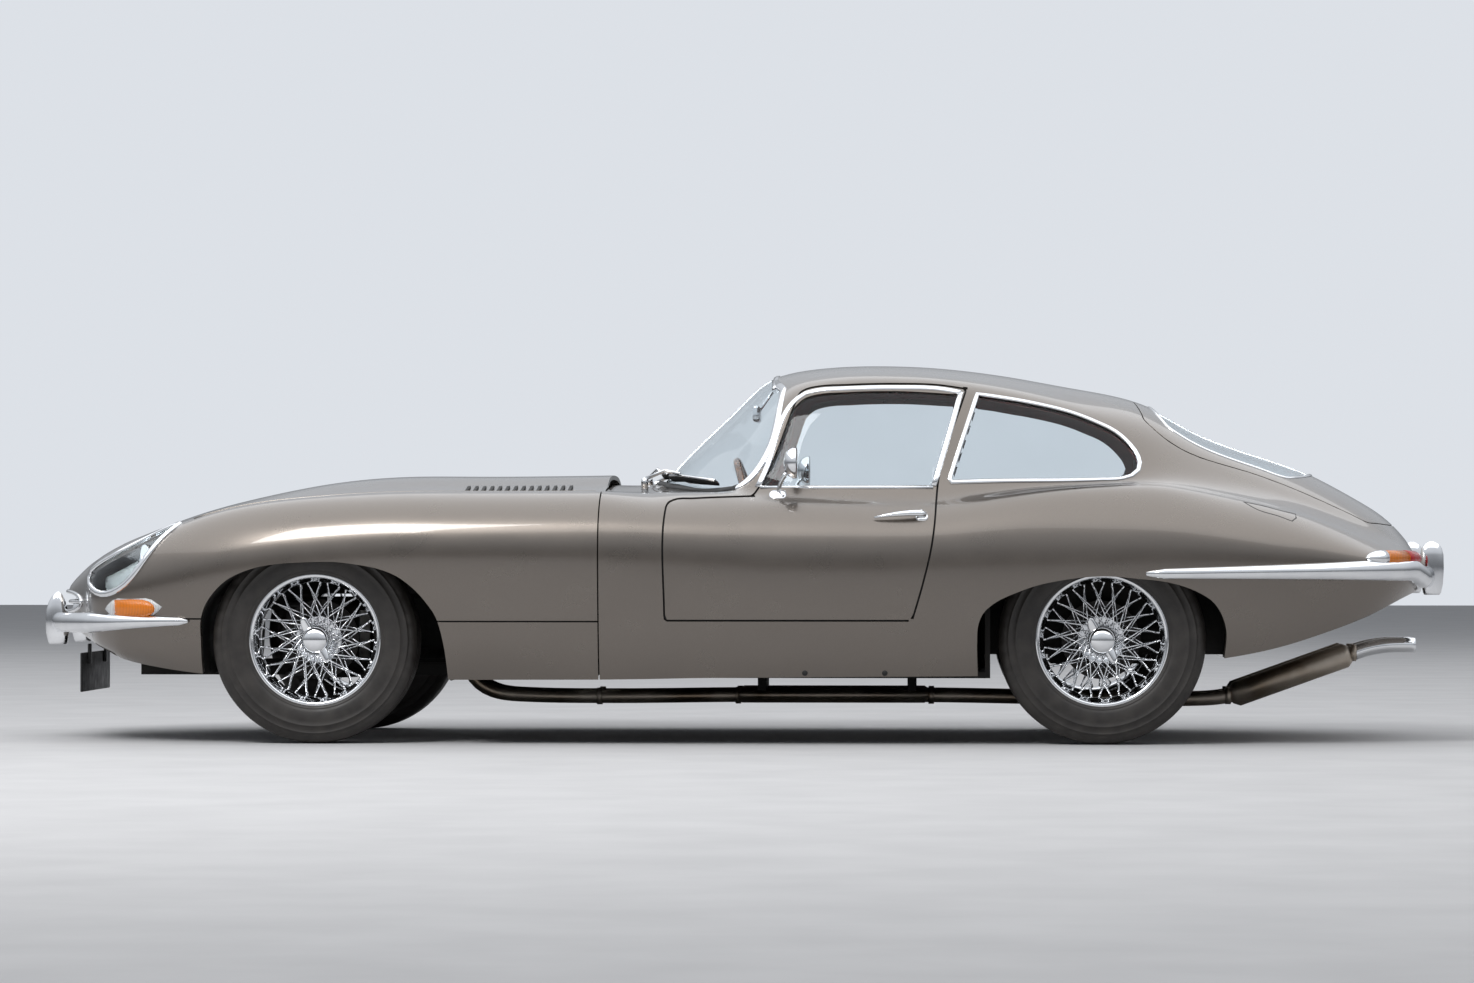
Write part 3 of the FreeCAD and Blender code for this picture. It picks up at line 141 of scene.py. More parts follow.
class Skin:
    """A smooth left half of the body through a table of sections."""

    MIRRORED_COLUMNS = 3

    def __init__(self, rows):
        sections = []
        for row in rows:
            half = [(row[0], row[i], row[i + 1]) for i in range(1, len(row) - 1, 2)]
            half.append((row[0], 0.0, row[-1]))
            beyond = [(x, -y, z) for x, y, z in half[-1 - self.MIRRORED_COLUMNS:-1][::-1]]
            sections.append(half + beyond)
        wanted = np.array(sections) * MM
        self.last_column = wanted.shape[1] - 1 - self.MIRRORED_COLUMNS
        self.last_row = wanted.shape[0] - 1
        control = wanted.copy()
        for _ in range(4):
            padded = padded_ends(control)
            along = (padded[:-2] + 4 * padded[1:-1] + padded[2:]) / 6.0
            reached = (along[:, :-2] + 4 * along[:, 1:-1] + along[:, 2:]) / 6.0
            control = control + wanted - reached
        self.net = padded_ends(control)
        self.row_places = np.linspace(0, self.last_row, 40 * self.last_row + 1)
        self.row_x = self.at(self.row_places, np.zeros_like(self.row_places))[:, 0]
        self.column_places = np.linspace(0, self.last_column, 400)

    def at(self, u, v):
        """Return surface points at row places u and column places v."""
        u = np.atleast_1d(np.asarray(u, float))
        v = np.atleast_1d(np.asarray(v, float))
        i = np.clip(np.floor(u).astype(int), 0, self.net.shape[0] - 4)
        k = np.clip(np.floor(v).astype(int), 0, self.net.shape[1] - 4)
        row_weights = weights(u - i)
        column_weights = weights(v - k)
        total = np.zeros((len(u), 3))
        for a in range(4):
            for b in range(4):
                total += (row_weights[a] * column_weights[b])[:, None] * self.net[i + a, k + b]
        return total

    def row_at(self, x):
        """Return the row place of a given x."""
        return np.interp(-x, -self.row_x, self.row_places)

    def normal(self, u, v):
        """Return the outward unit normal at one place."""
        step = 0.01
        along = self.at(u + step, v)[0] - self.at(u - step, v)[0]
        around = self.at(u, v + step)[0] - self.at(u, v - step)[0]
        return Vector(np.cross(along, around)).normalized()

    def section(self, x):
        """Return places and points of the section at x."""
        u = np.full_like(self.column_places, self.row_at(x))
        return u[0], self.at(u, self.column_places)


front_skin = Skin(FRONT_SECTIONS)
rear_skin = Skin(REAR_SECTIONS)
BONNET_REAR = FRONT_SECTIONS[-1][0] * MM
WIDEST_COLUMN = 2.0


def skin_at(x):
    """Choose the half skin that holds x."""
    return front_skin if x > BONNET_REAR - 2 * MM else rear_skin


def on_side(x, z):
    """Return the left surface point and normal at x and z."""
    skin = skin_at(x)
    u, points = skin.section(x)
    v = np.interp(z, points[:, 2], skin.column_places)
    return Vector(skin.at(u, v)[0]), skin.normal(u, v)


def on_top(x, y):
    """Return the upper surface point and normal at x and y, y to the left."""
    skin = skin_at(x)
    u, points = skin.section(x)
    upper = skin.column_places > WIDEST_COLUMN
    v = np.interp(-y, -points[upper, 1], skin.column_places[upper])
    return Vector(skin.at(u, v)[0]), skin.normal(u, v)


# Outlines in side view, x and z in millimetres
FRONT_ARCH = [
    (1652, -50), (1652, 204), (1651, 320), (1649, 386), (1634, 429), (1606, 469), (1566, 506),
    (1520, 530), (1458, 549), (1397, 558), (1335, 562), (1212, 563), (1151, 555), (1089, 543),
    (1027, 518), (997, 497), (966, 469), (935, 432), (914, 401), (904, 376), (889, 315),
    (877, 207), (877, -50),
]
REAR_ARCH = [
    (-757, -50), (-757, 222), (-755, 315), (-760, 376), (-774, 407), (-805, 435), (-882, 472),
    (-943, 493), (-1005, 506), (-1066, 515), (-1128, 520), (-1189, 518), (-1251, 512),
    (-1313, 506), (-1374, 493), (-1436, 469), (-1482, 438), (-1503, 407), (-1519, 361),
    (-1516, 266), (-1516, -50),
]
WINDSCREEN = [
    (262, 815), (185, 797), (52, 787), (-10, 796), (-55, 828), (-90, 875), (-143, 1065),
    (-148, 1105), (-115, 1138), (-100, 1300), (600, 1300), (600, 900), (300, 835),
]
DOOR_WINDOW = [
    (-85, 797), (-112, 880), (-196, 1056), (-215, 1074), (-243, 1084), (-352, 1094), (-509, 1097),
    (-700, 1087), (-613, 797),
]
QUARTER_WINDOW = [
    (-758, 1088), (-823, 1079), (-945, 1058), (-1070, 1026), (-1130, 1002), (-1190, 972),
    (-1235, 931), (-1255, 903), (-1264, 873), (-1258, 850), (-1236, 832), (-1208, 824),
    (-1133, 820), (-822, 815), (-668, 811),
]
DOOR = [
    (205, 383.5), (205, 720), (203, 738), (196, 750), (180, 757), (120, 761), (-62, 768), (-84, 803),
    (-202, 1094), (-225, 1106), (-252, 1112), (-355, 1118), (-509, 1121), (-640, 1117), (-724, 1105),
    (-634, 797), (-630, 747), (-627, 700), (-618, 623), (-590, 500), (-556, 383.5),
]
HEADLAMP = [
    (2050, 507), (2022, 478), (1984, 463), (1940, 470), (1905, 489), (1866, 529), (1834, 573), (1785, 636),
    (1727, 689), (1775, 672), (1820, 650), (1880, 622), (1952, 585), (2015, 552), (2045, 530),
]
TAILGATE_TOP = (-1286.0, 1045.0)
TAILGATE_FOOT = (-2035.0, 700.0)
SLOPE_X = TAILGATE_FOOT[0] - TAILGATE_TOP[0]
SLOPE_Z = TAILGATE_FOOT[1] - TAILGATE_TOP[1]
SLOPE_LENGTH = math.hypot(SLOPE_X, SLOPE_Z)
# Outlines in the tailgate's plane: distance down the slope and half width there
TAILGATE = [(0, 300), (14, 345), (48, 372), (420, 362), (720, 334), (790, 318), (815, 280)]
TAILGATE_GLASS = [(70, 260), (92, 306), (140, 318), (400, 306), (500, 288), (522, 250)]
SILL_SEAM_Z = 380.5
VALANCE_SEAM_Z = 387.0
MOUTH_LOW_Z = 402.0
MOUTH_HIGH_Z = 468.0
MOUTH_HALF_WIDTH = 262.0
SHUT_GAP = 2.4
DOOR_GAP = 2.8
# Where parts of the body begin, in metres
NOSE_X = 2.0
VALANCE_X = 1.4
TAILGATE_LOW_Z = 0.5
# Distance given to points that no outline can reach, in millimetres
OUT_OF_REACH = -1000.0


def smooth_span(here, after, leaving, arriving, t):
    """Return the point at share t between two points, with the directions at both ends."""
    return (here * (2 * t ** 3 - 3 * t ** 2 + 1) + leaving * (t ** 3 - 2 * t ** 2 + t)
            + after * (3 * t ** 2 - 2 * t ** 3) + arriving * (t ** 3 - t ** 2))


def rounded(outline, closed=True, step=10.0, sharp=50.0):
    """Pass a smooth line through an outline, keeping corners that turn by more than sharp degrees."""
    points = [Vector((a, b)) for a, b in outline]
    count = len(points)
    result = []
    for i in range(count if closed else count - 1):
        here, after = points[i], points[(i + 1) % count]
        before = points[i - 1] if closed or i else here
        beyond = points[(i + 2) % count] if closed or i + 2 < count else after
        span = (after - here).length
        turns = []
        for first, middle, last in ((before, here, after), (here, after, beyond)):
            one, two = middle - first, last - middle
            corner = one.length > 0 and two.length > 0 and one.angle(two) > math.radians(sharp)
            flat = (after - here) / span if span else Vector((0, 0))
            if corner or not one.length or not two.length:
                turns.append(flat * span)
            else:
                turns.append((one.normalized() * two.length + two.normalized() * one.length)
                             / (one.length + two.length) * span)
        steps = max(1, int(span / step))
        result += [smooth_span(here, after, *turns, n / steps) for n in range(steps)]
    if not closed:
        result.append(points[-1])
    return [(p.x, p.y) for p in result]


def inside_distance(points, outline):
    """Return how far each point lies inside a closed outline, negative outside."""
    corners = np.array(outline)
    following = np.roll(corners, -1, axis=0)
    nearest = np.full(len(points), 1e9)
    crossings = np.zeros(len(points), bool)
    for start, end in zip(corners, following):
        edge = end - start
        length = edge @ edge
        if length == 0:
            continue
        share = np.clip(((points - start) @ edge) / length, 0, 1)
        away = points - start - share[:, None] * edge
        nearest = np.minimum(nearest, np.einsum("ij,ij->i", away, away))
        above = (start[1] > points[:, 1]) != (end[1] > points[:, 1])
        if edge[1]:
            at_x = start[0] + edge[0] * (points[:, 1] - start[1]) / edge[1]
            crossings ^= above & (points[:, 0] < at_x)
    return np.where(crossings, 1.0, -1.0) * np.sqrt(nearest)


def side_view(points):
    """Flatten body points to x and z in millimetres."""
    return points[:, [0, 2]] / MM


def down_the_slope(points):
    """Flatten body points to the tailgate's plane in millimetres."""
    top_x, top_z = TAILGATE_TOP
    along = ((points[:, 0] / MM - top_x) * SLOPE_X + (points[:, 2] / MM - top_z) * SLOPE_Z) / SLOPE_LENGTH
    return np.stack([along, points[:, 1] / MM], axis=1)


def both_halves(outline):
    """Close an outline of half widths with its mirror image."""
    return [(a, b) for a, b in outline] + [(a, -b) for a, b in reversed(outline)]


# Each opening: how the body is flattened for it, and its outline there
OUTLINES = {
    "front_arch": (side_view, rounded(FRONT_ARCH)),
    "rear_arch": (side_view, rounded(REAR_ARCH)),
    "windscreen": (side_view, rounded(WINDSCREEN)),
    "door_window": (side_view, rounded(DOOR_WINDOW)),
    "quarter_window": (side_view, rounded(QUARTER_WINDOW)),
    "door": (side_view, rounded(DOOR, sharp=30.0)),
    "headlamp": (side_view, rounded(HEADLAMP, sharp=75.0)),
    "tailgate": (down_the_slope, rounded(both_halves(TAILGATE))),
    "tailgate_glass": (down_the_slope, rounded(both_halves(TAILGATE_GLASS))),
}
# How near to the centreline the headlamp reaches, in millimetres: x, and y there
LAMP_INNER_X = [1700, 1735, 1775, 1820, 1895, 1952, 2050]
LAMP_INNER_Y = [605, 592, 570, 544, 508, 480, 300]


def lamp_inner_y(x):
    """Return how near to the centreline the headlamp may reach at x, both in millimetres."""
    return np.interp(x, LAMP_INNER_X, LAMP_INNER_Y)


def reach_inside(name, points):
    """Return how far body points lie inside a named outline, in millimetres."""
    flatten, outline = OUTLINES[name]
    distance = inside_distance(flatten(points), outline)
    if name == "headlamp":
        distance = np.minimum(distance, np.abs(points[:, 1]) / MM - lamp_inner_y(points[:, 0] / MM))
    if name.startswith("tailgate"):
        distance = np.where(points[:, 2] < TAILGATE_LOW_Z, OUT_OF_REACH, distance)
    return distance


def mouth_reach(points):
    """Return how far body points lie inside the air intake, in millimetres."""
    middle = 0.5 * (MOUTH_LOW_Z + MOUTH_HIGH_Z)
    tall = 0.5 * (MOUTH_HIGH_Z - MOUTH_LOW_Z)
    over = np.hypot(np.abs(points[:, 1] / MM / MOUTH_HALF_WIDTH) ** 1.5,
                    (points[:, 2] / MM - middle) / tall)
    return np.where(points[:, 0] > NOSE_X, (1.0 - over) * tall, OUT_OF_REACH)


def vertex_points(mesh):
    """Return all vertices of a bmesh as one array."""
    return np.array([v.co for v in mesh.verts])


NEAR_LINE = 1.2
NUDGE = 0.1
LEAST_SLOPE_SQUARED = 0.25


def drawn_to_line(mesh, distance, offset):
    """Move the vertices near a cutting line onto it; return every distance and those vertices."""
    points = vertex_points(mesh)
    values = distance(points) - offset
    close = np.nonzero(np.abs(values) < NEAR_LINE)[0]
    mesh.verts.ensure_lookup_table()
    near = [mesh.verts[int(i)] for i in close]
    if near:
        slopes = []
        for axis in range(3):
            moved = points[close].copy()
            moved[:, axis] += NUDGE * MM
            slopes.append((distance(moved) - offset - values[close]) / NUDGE)
        slope = np.stack(slopes, axis=1)
        size = np.maximum(np.einsum("ij,ij->i", slope, slope), LEAST_SLOPE_SQUARED)
        shift = -slope * (values[close] / size)[:, None] * MM
        for vert, move in zip(near, shift):
            vert.co += Vector(move)
        values[close] = 0.0
    return values, near


def cut_along(mesh, distance, offsets):
    """Split the faces of a bmesh where a distance, in millimetres, passes each offset."""
    for offset in offsets:
        values, near = drawn_to_line(mesh, distance, offset)
        mesh.verts.index_update()
        mesh.edges.ensure_lookup_table()
        ends = np.array([(e.verts[0].index, e.verts[1].index) for e in mesh.edges])
        crossed = np.nonzero(values[ends[:, 0]] * values[ends[:, 1]] < 0)[0]
        # Dicts without values keep the order in which things were found
        line_verts = dict.fromkeys(near)
        touched = {}
        for edge in [mesh.edges[int(i)] for i in crossed]:
            first, last = edge.verts
            share = values[first.index] / (values[first.index] - values[last.index])
            touched.update(dict.fromkeys(edge.link_faces))
            _, vert = bmesh.utils.edge_split(edge, first, share)
            line_verts[vert] = None
        for vert in line_verts:
            touched.update(dict.fromkeys(vert.link_faces))
        for face in touched:
            if not face.is_valid:
                continue
            marked = [v for v in face.verts if v in line_verts]
            if len(marked) == 2:
                first, last = marked
                if not any(e.other_vert(first) is last for e in first.link_edges):
                    bmesh.utils.face_split(face, first, last)
        mesh.verts.index_update()


def skin_grid(skin, closed, step=GRID_STEP):
    """Return a bmesh of quads over a half skin, with an underside where closed(x) holds."""
    length = abs(skin.row_x[0] - skin.row_x[-1])
    x_places = np.linspace(skin.row_x[0], skin.row_x[-1], int(length / step) + 1)
    u_places = skin.row_at(x_places)
    v_places = [0.0]
    for column in range(skin.last_column):
        rows = np.arange(skin.last_row + 1)
        start = skin.at(rows, np.full(len(rows), float(column)))
        end = skin.at(rows, np.full(len(rows), column + 1.0))
        parts = max(2, int(np.percentile(np.linalg.norm(end - start, axis=1), 75) / step + 0.5))
        v_places += [column + (n + 1) / parts for n in range(parts)]
    mesh = bmesh.new()
    rings = []
    for u in u_places:
        ring = skin.at(np.full(len(v_places), u), np.array(v_places))
        ring[-1, 1] = 0.0
        rings.append([mesh.verts.new(p) for p in ring])
    for ring, following in zip(rings, rings[1:]):
        for i in range(len(v_places) - 1):
            mesh.faces.new((ring[i], ring[i + 1], following[i + 1], following[i]))
    floors = [underside_of(mesh, ring[0]) if closed(x) else None for ring, x in zip(rings, x_places)]
    for floor, following in zip(floors, floors[1:]):
        if floor and following:
            for i in range(len(floor) - 1):
                mesh.faces.new((floor[i + 1], floor[i], following[i], following[i + 1]))
    return mesh, rings[-1] + underside_of(mesh, rings[-1][0])[:0:-1]


UNDERSIDE_COLUMNS = 8
UNDERSIDE_SAG = 14 * MM


def underside_of(mesh, edge):
    """Return vertices from a low edge to the centreline, sagging slightly."""
    column = [edge]
    for n in range(1, UNDERSIDE_COLUMNS + 1):
        share = n / UNDERSIDE_COLUMNS
        sag = UNDERSIDE_SAG * math.sin(0.5 * math.pi * share)
        column.append(mesh.verts.new((edge.co.x, edge.co.y * (1 - share), edge.co.z - sag)))
    return column


def close_end(mesh, outline, middle_z, bulge):
    """Close the end of a half skin with rings that shrink to its middle."""
    before = outline
    for share in (0.97, 0.9, 0.75, 0.5, 0.25):
        ring = []
        for v in outline:
            out = bulge * math.sqrt(1 - share ** 2)
            ring.append(mesh.verts.new((v.co.x + out, v.co.y * share,
                                        middle_z + (v.co.z - middle_z) * share)))
        for i in range(len(ring) - 1):
            mesh.faces.new((before[i], before[i + 1], ring[i + 1], ring[i]))
        before = ring
    middle = mesh.verts.new((outline[0].co.x + bulge, 0.0, middle_z))
    for i in range(len(before) - 1):
        mesh.faces.new((before[i], before[i + 1], middle))


def face_outwards(mesh):
    """Turn the faces of a bmesh away from the middle of the car."""
    bmesh.ops.recalc_face_normals(mesh, faces=mesh.faces[:])
    heart = Vector((0.0, 0.0, 0.4))
    outward = sum(f.normal.dot(f.calc_center_median() - heart) * f.calc_area() for f in mesh.faces)
    if outward < 0:
        bmesh.ops.reverse_faces(mesh, faces=mesh.faces[:])
    mesh.normal_update()


def taken_out(mesh, keep):
    """Copy the faces of a bmesh whose centres pass a test, given as an array function."""
    centres = np.array([f.calc_center_median() for f in mesh.faces])
    chosen = keep(centres)
    result = mesh.copy()
    result.faces.ensure_lookup_table()
    gone = [f for f, stays in zip(result.faces, chosen) if not stays]
    bmesh.ops.delete(result, geom=gone, context="FACES")
    return result


def merged(*meshes):
    """Join several bmeshes into the first."""
    first = meshes[0]
    for other in meshes[1:]:
        data = bpy.data.meshes.new("part")
        other.to_mesh(data)
        other.free()
        first.from_mesh(data)
        bpy.data.meshes.remove(data)
    return first


def mirrored(mesh):
    """Return a copy of a bmesh on the car's right side."""
    other = mesh.copy()
    for v in other.verts:
        v.co.y = -v.co.y
    bmesh.ops.reverse_faces(other, faces=other.faces[:])
    return other


def on_both_sides(mesh):
    """Add a mirror image of a bmesh on the car's right side."""
    return merged(mesh, mirrored(mesh))


def welded(mesh):
    """Join the vertices of a bmesh that lie on one another."""
    bmesh.ops.remove_doubles(mesh, verts=mesh.verts[:], dist=WELD_DISTANCE)
    return mesh


def whole(mesh):
    """Join a half with its mirror image on the centreline."""
    return welded(on_both_sides(mesh))


def shifted_in(mesh, depth):
    """Move a bmesh inwards along its normals."""
    mesh.normal_update()
    moves = [v.normal * -depth for v in mesh.verts]
    for v, move in zip(mesh.verts, moves):
        v.co += move
    return mesh


def thing(name, mesh, material, body, *nodes):
    """Make an object of a bmesh or mesh, give it its finish and let it ride on a body."""
    if isinstance(mesh, bmesh.types.BMesh):
        data = bpy.data.meshes.new(name)
        mesh.to_mesh(data)
        mesh.free()
    else:
        data = mesh
        data.name = name
    piece = bpy.data.objects.new(name, data)
    scene.collection.objects.link(piece)
    data.materials.clear()
    data.materials.append(material)
    data.shade_smooth()
    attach(piece, body)
    if nodes:
        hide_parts(*nodes)
    return piece


def walled(name, mesh, thickness, material, body, *nodes, edge=1.2 * MM):
    """Make a panel of a bmesh: give it its wall and soft edges."""
    mesh.normal_update()
    piece = thing(name, mesh, material, body, *nodes)
    wall = piece.modifiers.new("wall", "SOLIDIFY")
    wall.thickness = thickness
    wall.offset = -1.0
    wall.use_even_offset = False
    if edge:
        soft = piece.modifiers.new("soft_edge", "BEVEL")
        soft.width = edge
        soft.segments = 2
        soft.limit_method = "ANGLE"
        soft.angle_limit = CREASE
        soft.harden_normals = True
    return piece


# Finishes
def finish_base(name, slot):
    """Start a node material and return it with its tree and shader."""
    material = bpy.data.materials.new(name)
    material.use_nodes = True
    material["slot"] = slot
    tree = material.node_tree
    shader = next(n for n in tree.nodes if n.type == "BSDF_PRINCIPLED")
    return material, tree, shader


def set_values(shader, **values):
    """Set sockets of the shader, given with underscores for spaces."""
    for name, value in values.items():
        shader.inputs[name.replace("_", " ")].default_value = value


def noise_of(tree, scale, detail=3.0, stretch=None):
    """Add a noise texture on the piece's own coordinates."""
    place = tree.nodes.new("ShaderNodeTexCoord")
    noise = tree.nodes.new("ShaderNodeTexNoise")
    noise.inputs["Scale"].default_value = scale
    noise.inputs["Detail"].default_value = detail
    if stretch:
        mapping = tree.nodes.new("ShaderNodeMapping")
        mapping.inputs["Scale"].default_value = stretch
        tree.links.new(place.outputs["Object"], mapping.inputs["Vector"])
        tree.links.new(mapping.outputs["Vector"], noise.inputs["Vector"])
    else:
        tree.links.new(place.outputs["Object"], noise.inputs["Vector"])
    return noise


def ramp_of(tree, source, stops):
    """Map a value through colour stops given as place and colour."""
    ramp = tree.nodes.new("ShaderNodeValToRGB")
    elements = ramp.color_ramp.elements
    while len(elements) < len(stops):
        elements.new(0.5)
    for element, (place, colour) in zip(elements, stops):
        element.position = place
        element.color = (*colour, 1.0) if len(colour) == 3 else (colour[0],) * 3 + (1.0,)
    tree.links.new(source, ramp.inputs["Fac"])
    return ramp.outputs["Color"]


def bump_of(tree, shader, source, height):
    """Give the shader a bump of the given height in metres."""
    bump = tree.nodes.new("ShaderNodeBump")
    bump.inputs["Distance"].default_value = height
    bump.inputs["Strength"].default_value = 1.0
    tree.links.new(source, bump.inputs["Height"])
    tree.links.new(bump.outputs["Normal"], shader.inputs["Normal"])


def varied(name, slot, dark, light, rough, scale=30.0, grain=0.0, grain_scale=400.0, stretch=None, **values):
    """Make a finish whose colour and roughness vary softly over the piece."""
    material, tree, shader = finish_base(name, slot)
    noise = noise_of(tree, scale, stretch=stretch)
    tree.links.new(ramp_of(tree, noise.outputs["Fac"], [(0.3, dark), (0.7, light)]),
                   shader.inputs["Base Color"])
    tree.links.new(ramp_of(tree, noise.outputs["Fac"], [(0.3, (rough[0],)), (0.7, (rough[1],))]),
                   shader.inputs["Roughness"])
    if grain:
        bump_of(tree, shader, noise_of(tree, grain_scale).outputs["Fac"], grain)
    set_values(shader, **values)
    return material


FLAKES_PER_METRE = 1400.0
DUST_COLOUR = (0.17, 0.15, 0.13, 1.0)


def paint_finish():
    """Warm grey metallic paint under clear lacquer, with road dust low on the panels."""
    material, tree, shader = finish_base("metallic_paint", "paint")
    place = tree.nodes.new("ShaderNodeTexCoord")
    flakes = tree.nodes.new("ShaderNodeTexVoronoi")
    flakes.inputs["Scale"].default_value = FLAKES_PER_METRE
    tree.links.new(place.outputs["Object"], flakes.inputs["Vector"])
    colour = ramp_of(tree, flakes.outputs["Color"],
                     [(0.0, (0.160, 0.137, 0.117)), (1.0, (0.200, 0.174, 0.150))])
    height = tree.nodes.new("ShaderNodeSeparateXYZ")
    tree.links.new(place.outputs["Object"], height.inputs["Vector"])
    low = ramp_of(tree, height.outputs["Z"], [(0.2, (0.35,)), (0.55, (0.0,))])
    dust = noise_of(tree, 9.0, detail=6.0)
    amount = tree.nodes.new("ShaderNodeMath")
    amount.operation = "MULTIPLY"
    tree.links.new(low, amount.inputs[0])
    tree.links.new(dust.outputs["Fac"], amount.inputs[1])
    mix = tree.nodes.new("ShaderNodeMix")
    mix.data_type = "RGBA"
    mix.inputs["B"].default_value = DUST_COLOUR
    tree.links.new(amount.outputs["Value"], mix.inputs["Factor"])
    tree.links.new(colour, mix.inputs["A"])
    tree.links.new(mix.outputs["Result"], shader.inputs["Base Color"])
    tree.links.new(ramp_of(tree, dust.outputs["Fac"], [(0.3, (0.26,)), (0.75, (0.34,))]),
                   shader.inputs["Roughness"])
    set_values(shader, Metallic=0.90, Coat_Weight=1.0, Coat_Roughness=0.03, Coat_IOR=1.5)
    return material


def glass_finish(name="window_glass", slot="glass", tint=(0.84, 0.88, 0.90)):
    """Clear glass with a faint film."""
    material, tree, shader = finish_base(name, slot)
    film = noise_of(tree, 6.0)
    tree.links.new(ramp_of(tree, film.outputs["Fac"], [(0.3, (0.0,)), (0.8, (0.03,))]),
                   shader.inputs["Roughness"])
    light = tuple(min(1.0, c * 1.03) for c in tint)
    tree.links.new(ramp_of(tree, film.outputs["Fac"], [(0.2, tint), (0.8, light)]),
                   shader.inputs["Base Color"])
    set_values(shader, IOR=1.02, Transmission_Weight=1.0, Specular_IOR_Level=0.5, Coat_Weight=0.35,
               Coat_Roughness=0.0)
    return material


LENS_RIBS = 60.0
LENS_RIB_HEIGHT = 0.0006


def lens_finish(name, slot, colour):
    """Ribbed coloured lamp lens, with painted shade darkening the troughs of its ribs."""
    material, tree, shader = finish_base(name, slot)
    place = tree.nodes.new("ShaderNodeTexCoord")
    ribs = tree.nodes.new("ShaderNodeTexWave")
    ribs.inputs["Scale"].default_value = LENS_RIBS
    ribs.bands_direction = "X"
    tree.links.new(place.outputs["Object"], ribs.inputs["Vector"])
    # Painted shade: where the rib bump is low, the trough is coloured a quarter darker
    dark = tuple(0.75 * c for c in colour)
    tree.links.new(ramp_of(tree, ribs.outputs["Fac"], [(0.2, dark), (0.8, colour)]),
                   shader.inputs["Base Color"])
    bump_of(tree, shader, ribs.outputs["Fac"], LENS_RIB_HEIGHT)
    set_values(shader, Roughness=0.22, Transmission_Weight=0.1, Coat_Weight=0.35, Coat_Roughness=0.08)
    return material


paint = paint_finish()
chrome = varied("bright_chrome", "chrome", (0.80, 0.81, 0.83), (0.88, 0.89, 0.90), (0.04, 0.10), scale=14.0,
                Metallic=1.0)
steel = varied("brushed_pipe_steel", "steel", (0.30, 0.29, 0.28), (0.50, 0.48, 0.45), (0.28, 0.45),
               scale=18.0, grain=0.0002, Metallic=1.0)
exhaust_steel = varied("heat_stained_steel", "steel", (0.28, 0.22, 0.16), (0.56, 0.50, 0.43), (0.28, 0.50),
                       scale=7.0, grain=0.0003, Metallic=1.0)
glass = glass_finish()
rubber = varied("black_seal_rubber", "black", (0.012, 0.012, 0.012), (0.022, 0.022, 0.022), (0.55, 0.75),
                scale=40.0, grain=0.0002)
tyre_rubber = varied("tyre_rubber", "tyre", (0.022, 0.019, 0.017), (0.042, 0.037, 0.033), (0.40, 0.58),
                     scale=22.0, grain=0.0002, grain_scale=900.0)
# Cast iron partly real and partly painted shade: darkened to near black with weak reflection to stand for
# shade inside the wheel
brake_iron_in_painted_shade = varied("brake_iron_darkened_to_shade", "steel", (0.012, 0.011, 0.010), (0.03, 0.027, 0.025), (0.45, 0.65),
                   scale=20.0, Specular_IOR_Level=0.25)
# Painted reflection: the headlamp buckets are coloured pale greenish silver to stand for sky mirrored in the
# covers
lamp_bucket_silver_painted_sky = varied("lamp_silver_painted_reflection", "steel", (0.60, 0.63, 0.61), (0.70, 0.73, 0.71), (0.35, 0.5),
                     scale=10.0, Metallic=0.3)
leather = varied("dark_red_leather", "leather", (0.085, 0.014, 0.012), (0.14, 0.026, 0.022), (0.38, 0.55),
                 scale=16.0, grain=0.0004, grain_scale=650.0, Coat_Weight=0.1)
lining = varied("dark_red_lining", "leather", (0.10, 0.016, 0.014), (0.15, 0.03, 0.026), (0.7, 0.9),
                scale=40.0, grain=0.0004, grain_scale=900.0)
carpet = varied("dark_carpet", "leather", (0.045, 0.010, 0.009), (0.075, 0.018, 0.016), (0.85, 1.0),
                scale=60.0, grain=0.0015, grain_scale=700.0)
black_trim = varied("black_grained_trim", "black", (0.014, 0.014, 0.014), (0.03, 0.03, 0.03), (0.4, 0.6),
                    scale=30.0, grain=0.0003, grain_scale=800.0)
underbody = varied("black_underbody", "underbody", (0.010, 0.010, 0.010), (0.028, 0.026, 0.024), (0.5, 0.8),
                   scale=8.0, grain=0.0006, grain_scale=120.0, Specular_IOR_Level=0.15)
alloy = varied("cast_alloy", "alloy", (0.36, 0.36, 0.36), (0.55, 0.55, 0.54), (0.32, 0.5), scale=25.0,
               grain=0.0004, grain_scale=300.0, Metallic=0.9)
wood = varied("varnished_wood_rim", "wood", (0.10, 0.035, 0.012), (0.24, 0.10, 0.04), (0.18, 0.3), scale=18.0,
              stretch=(1.0, 8.0, 8.0), Coat_Weight=0.8, Coat_Roughness=0.08)
dial_face = varied("dial_face", "black", (0.015, 0.015, 0.015), (0.03, 0.03, 0.03), (0.3, 0.4), scale=60.0)
mark_white = varied("dial_marks", "black", (0.7, 0.7, 0.68), (0.8, 0.8, 0.78), (0.4, 0.5), scale=60.0)
amber = lens_finish("amber_lens", "amber_lens", (1.0, 0.27, 0.01))
red = lens_finish("red_lens", "red_lens", (0.62, 0.02, 0.02))
clear_lens = lens_finish("clear_lens", "glass", (0.85, 0.87, 0.88))


# Body panels, cut from one smooth skin
SKIN_WALL = 14 * MM
GLASS_WALL = 4 * MM
GLASS_DEPTH = 3 * MM
LAMP_GLASS_WALL = 3 * MM
LAMP_GLASS_DEPTH = 1 * MM
SEAL_WALL = 3 * MM
SEAL_DEPTH = 9 * MM
# The tail: where its underside begins, and the middle and bulge of its closing end
TAIL_FLOOR_X = -1.53
TAIL_MIDDLE_Z = 0.546
TAIL_BULGE = -8 * MM


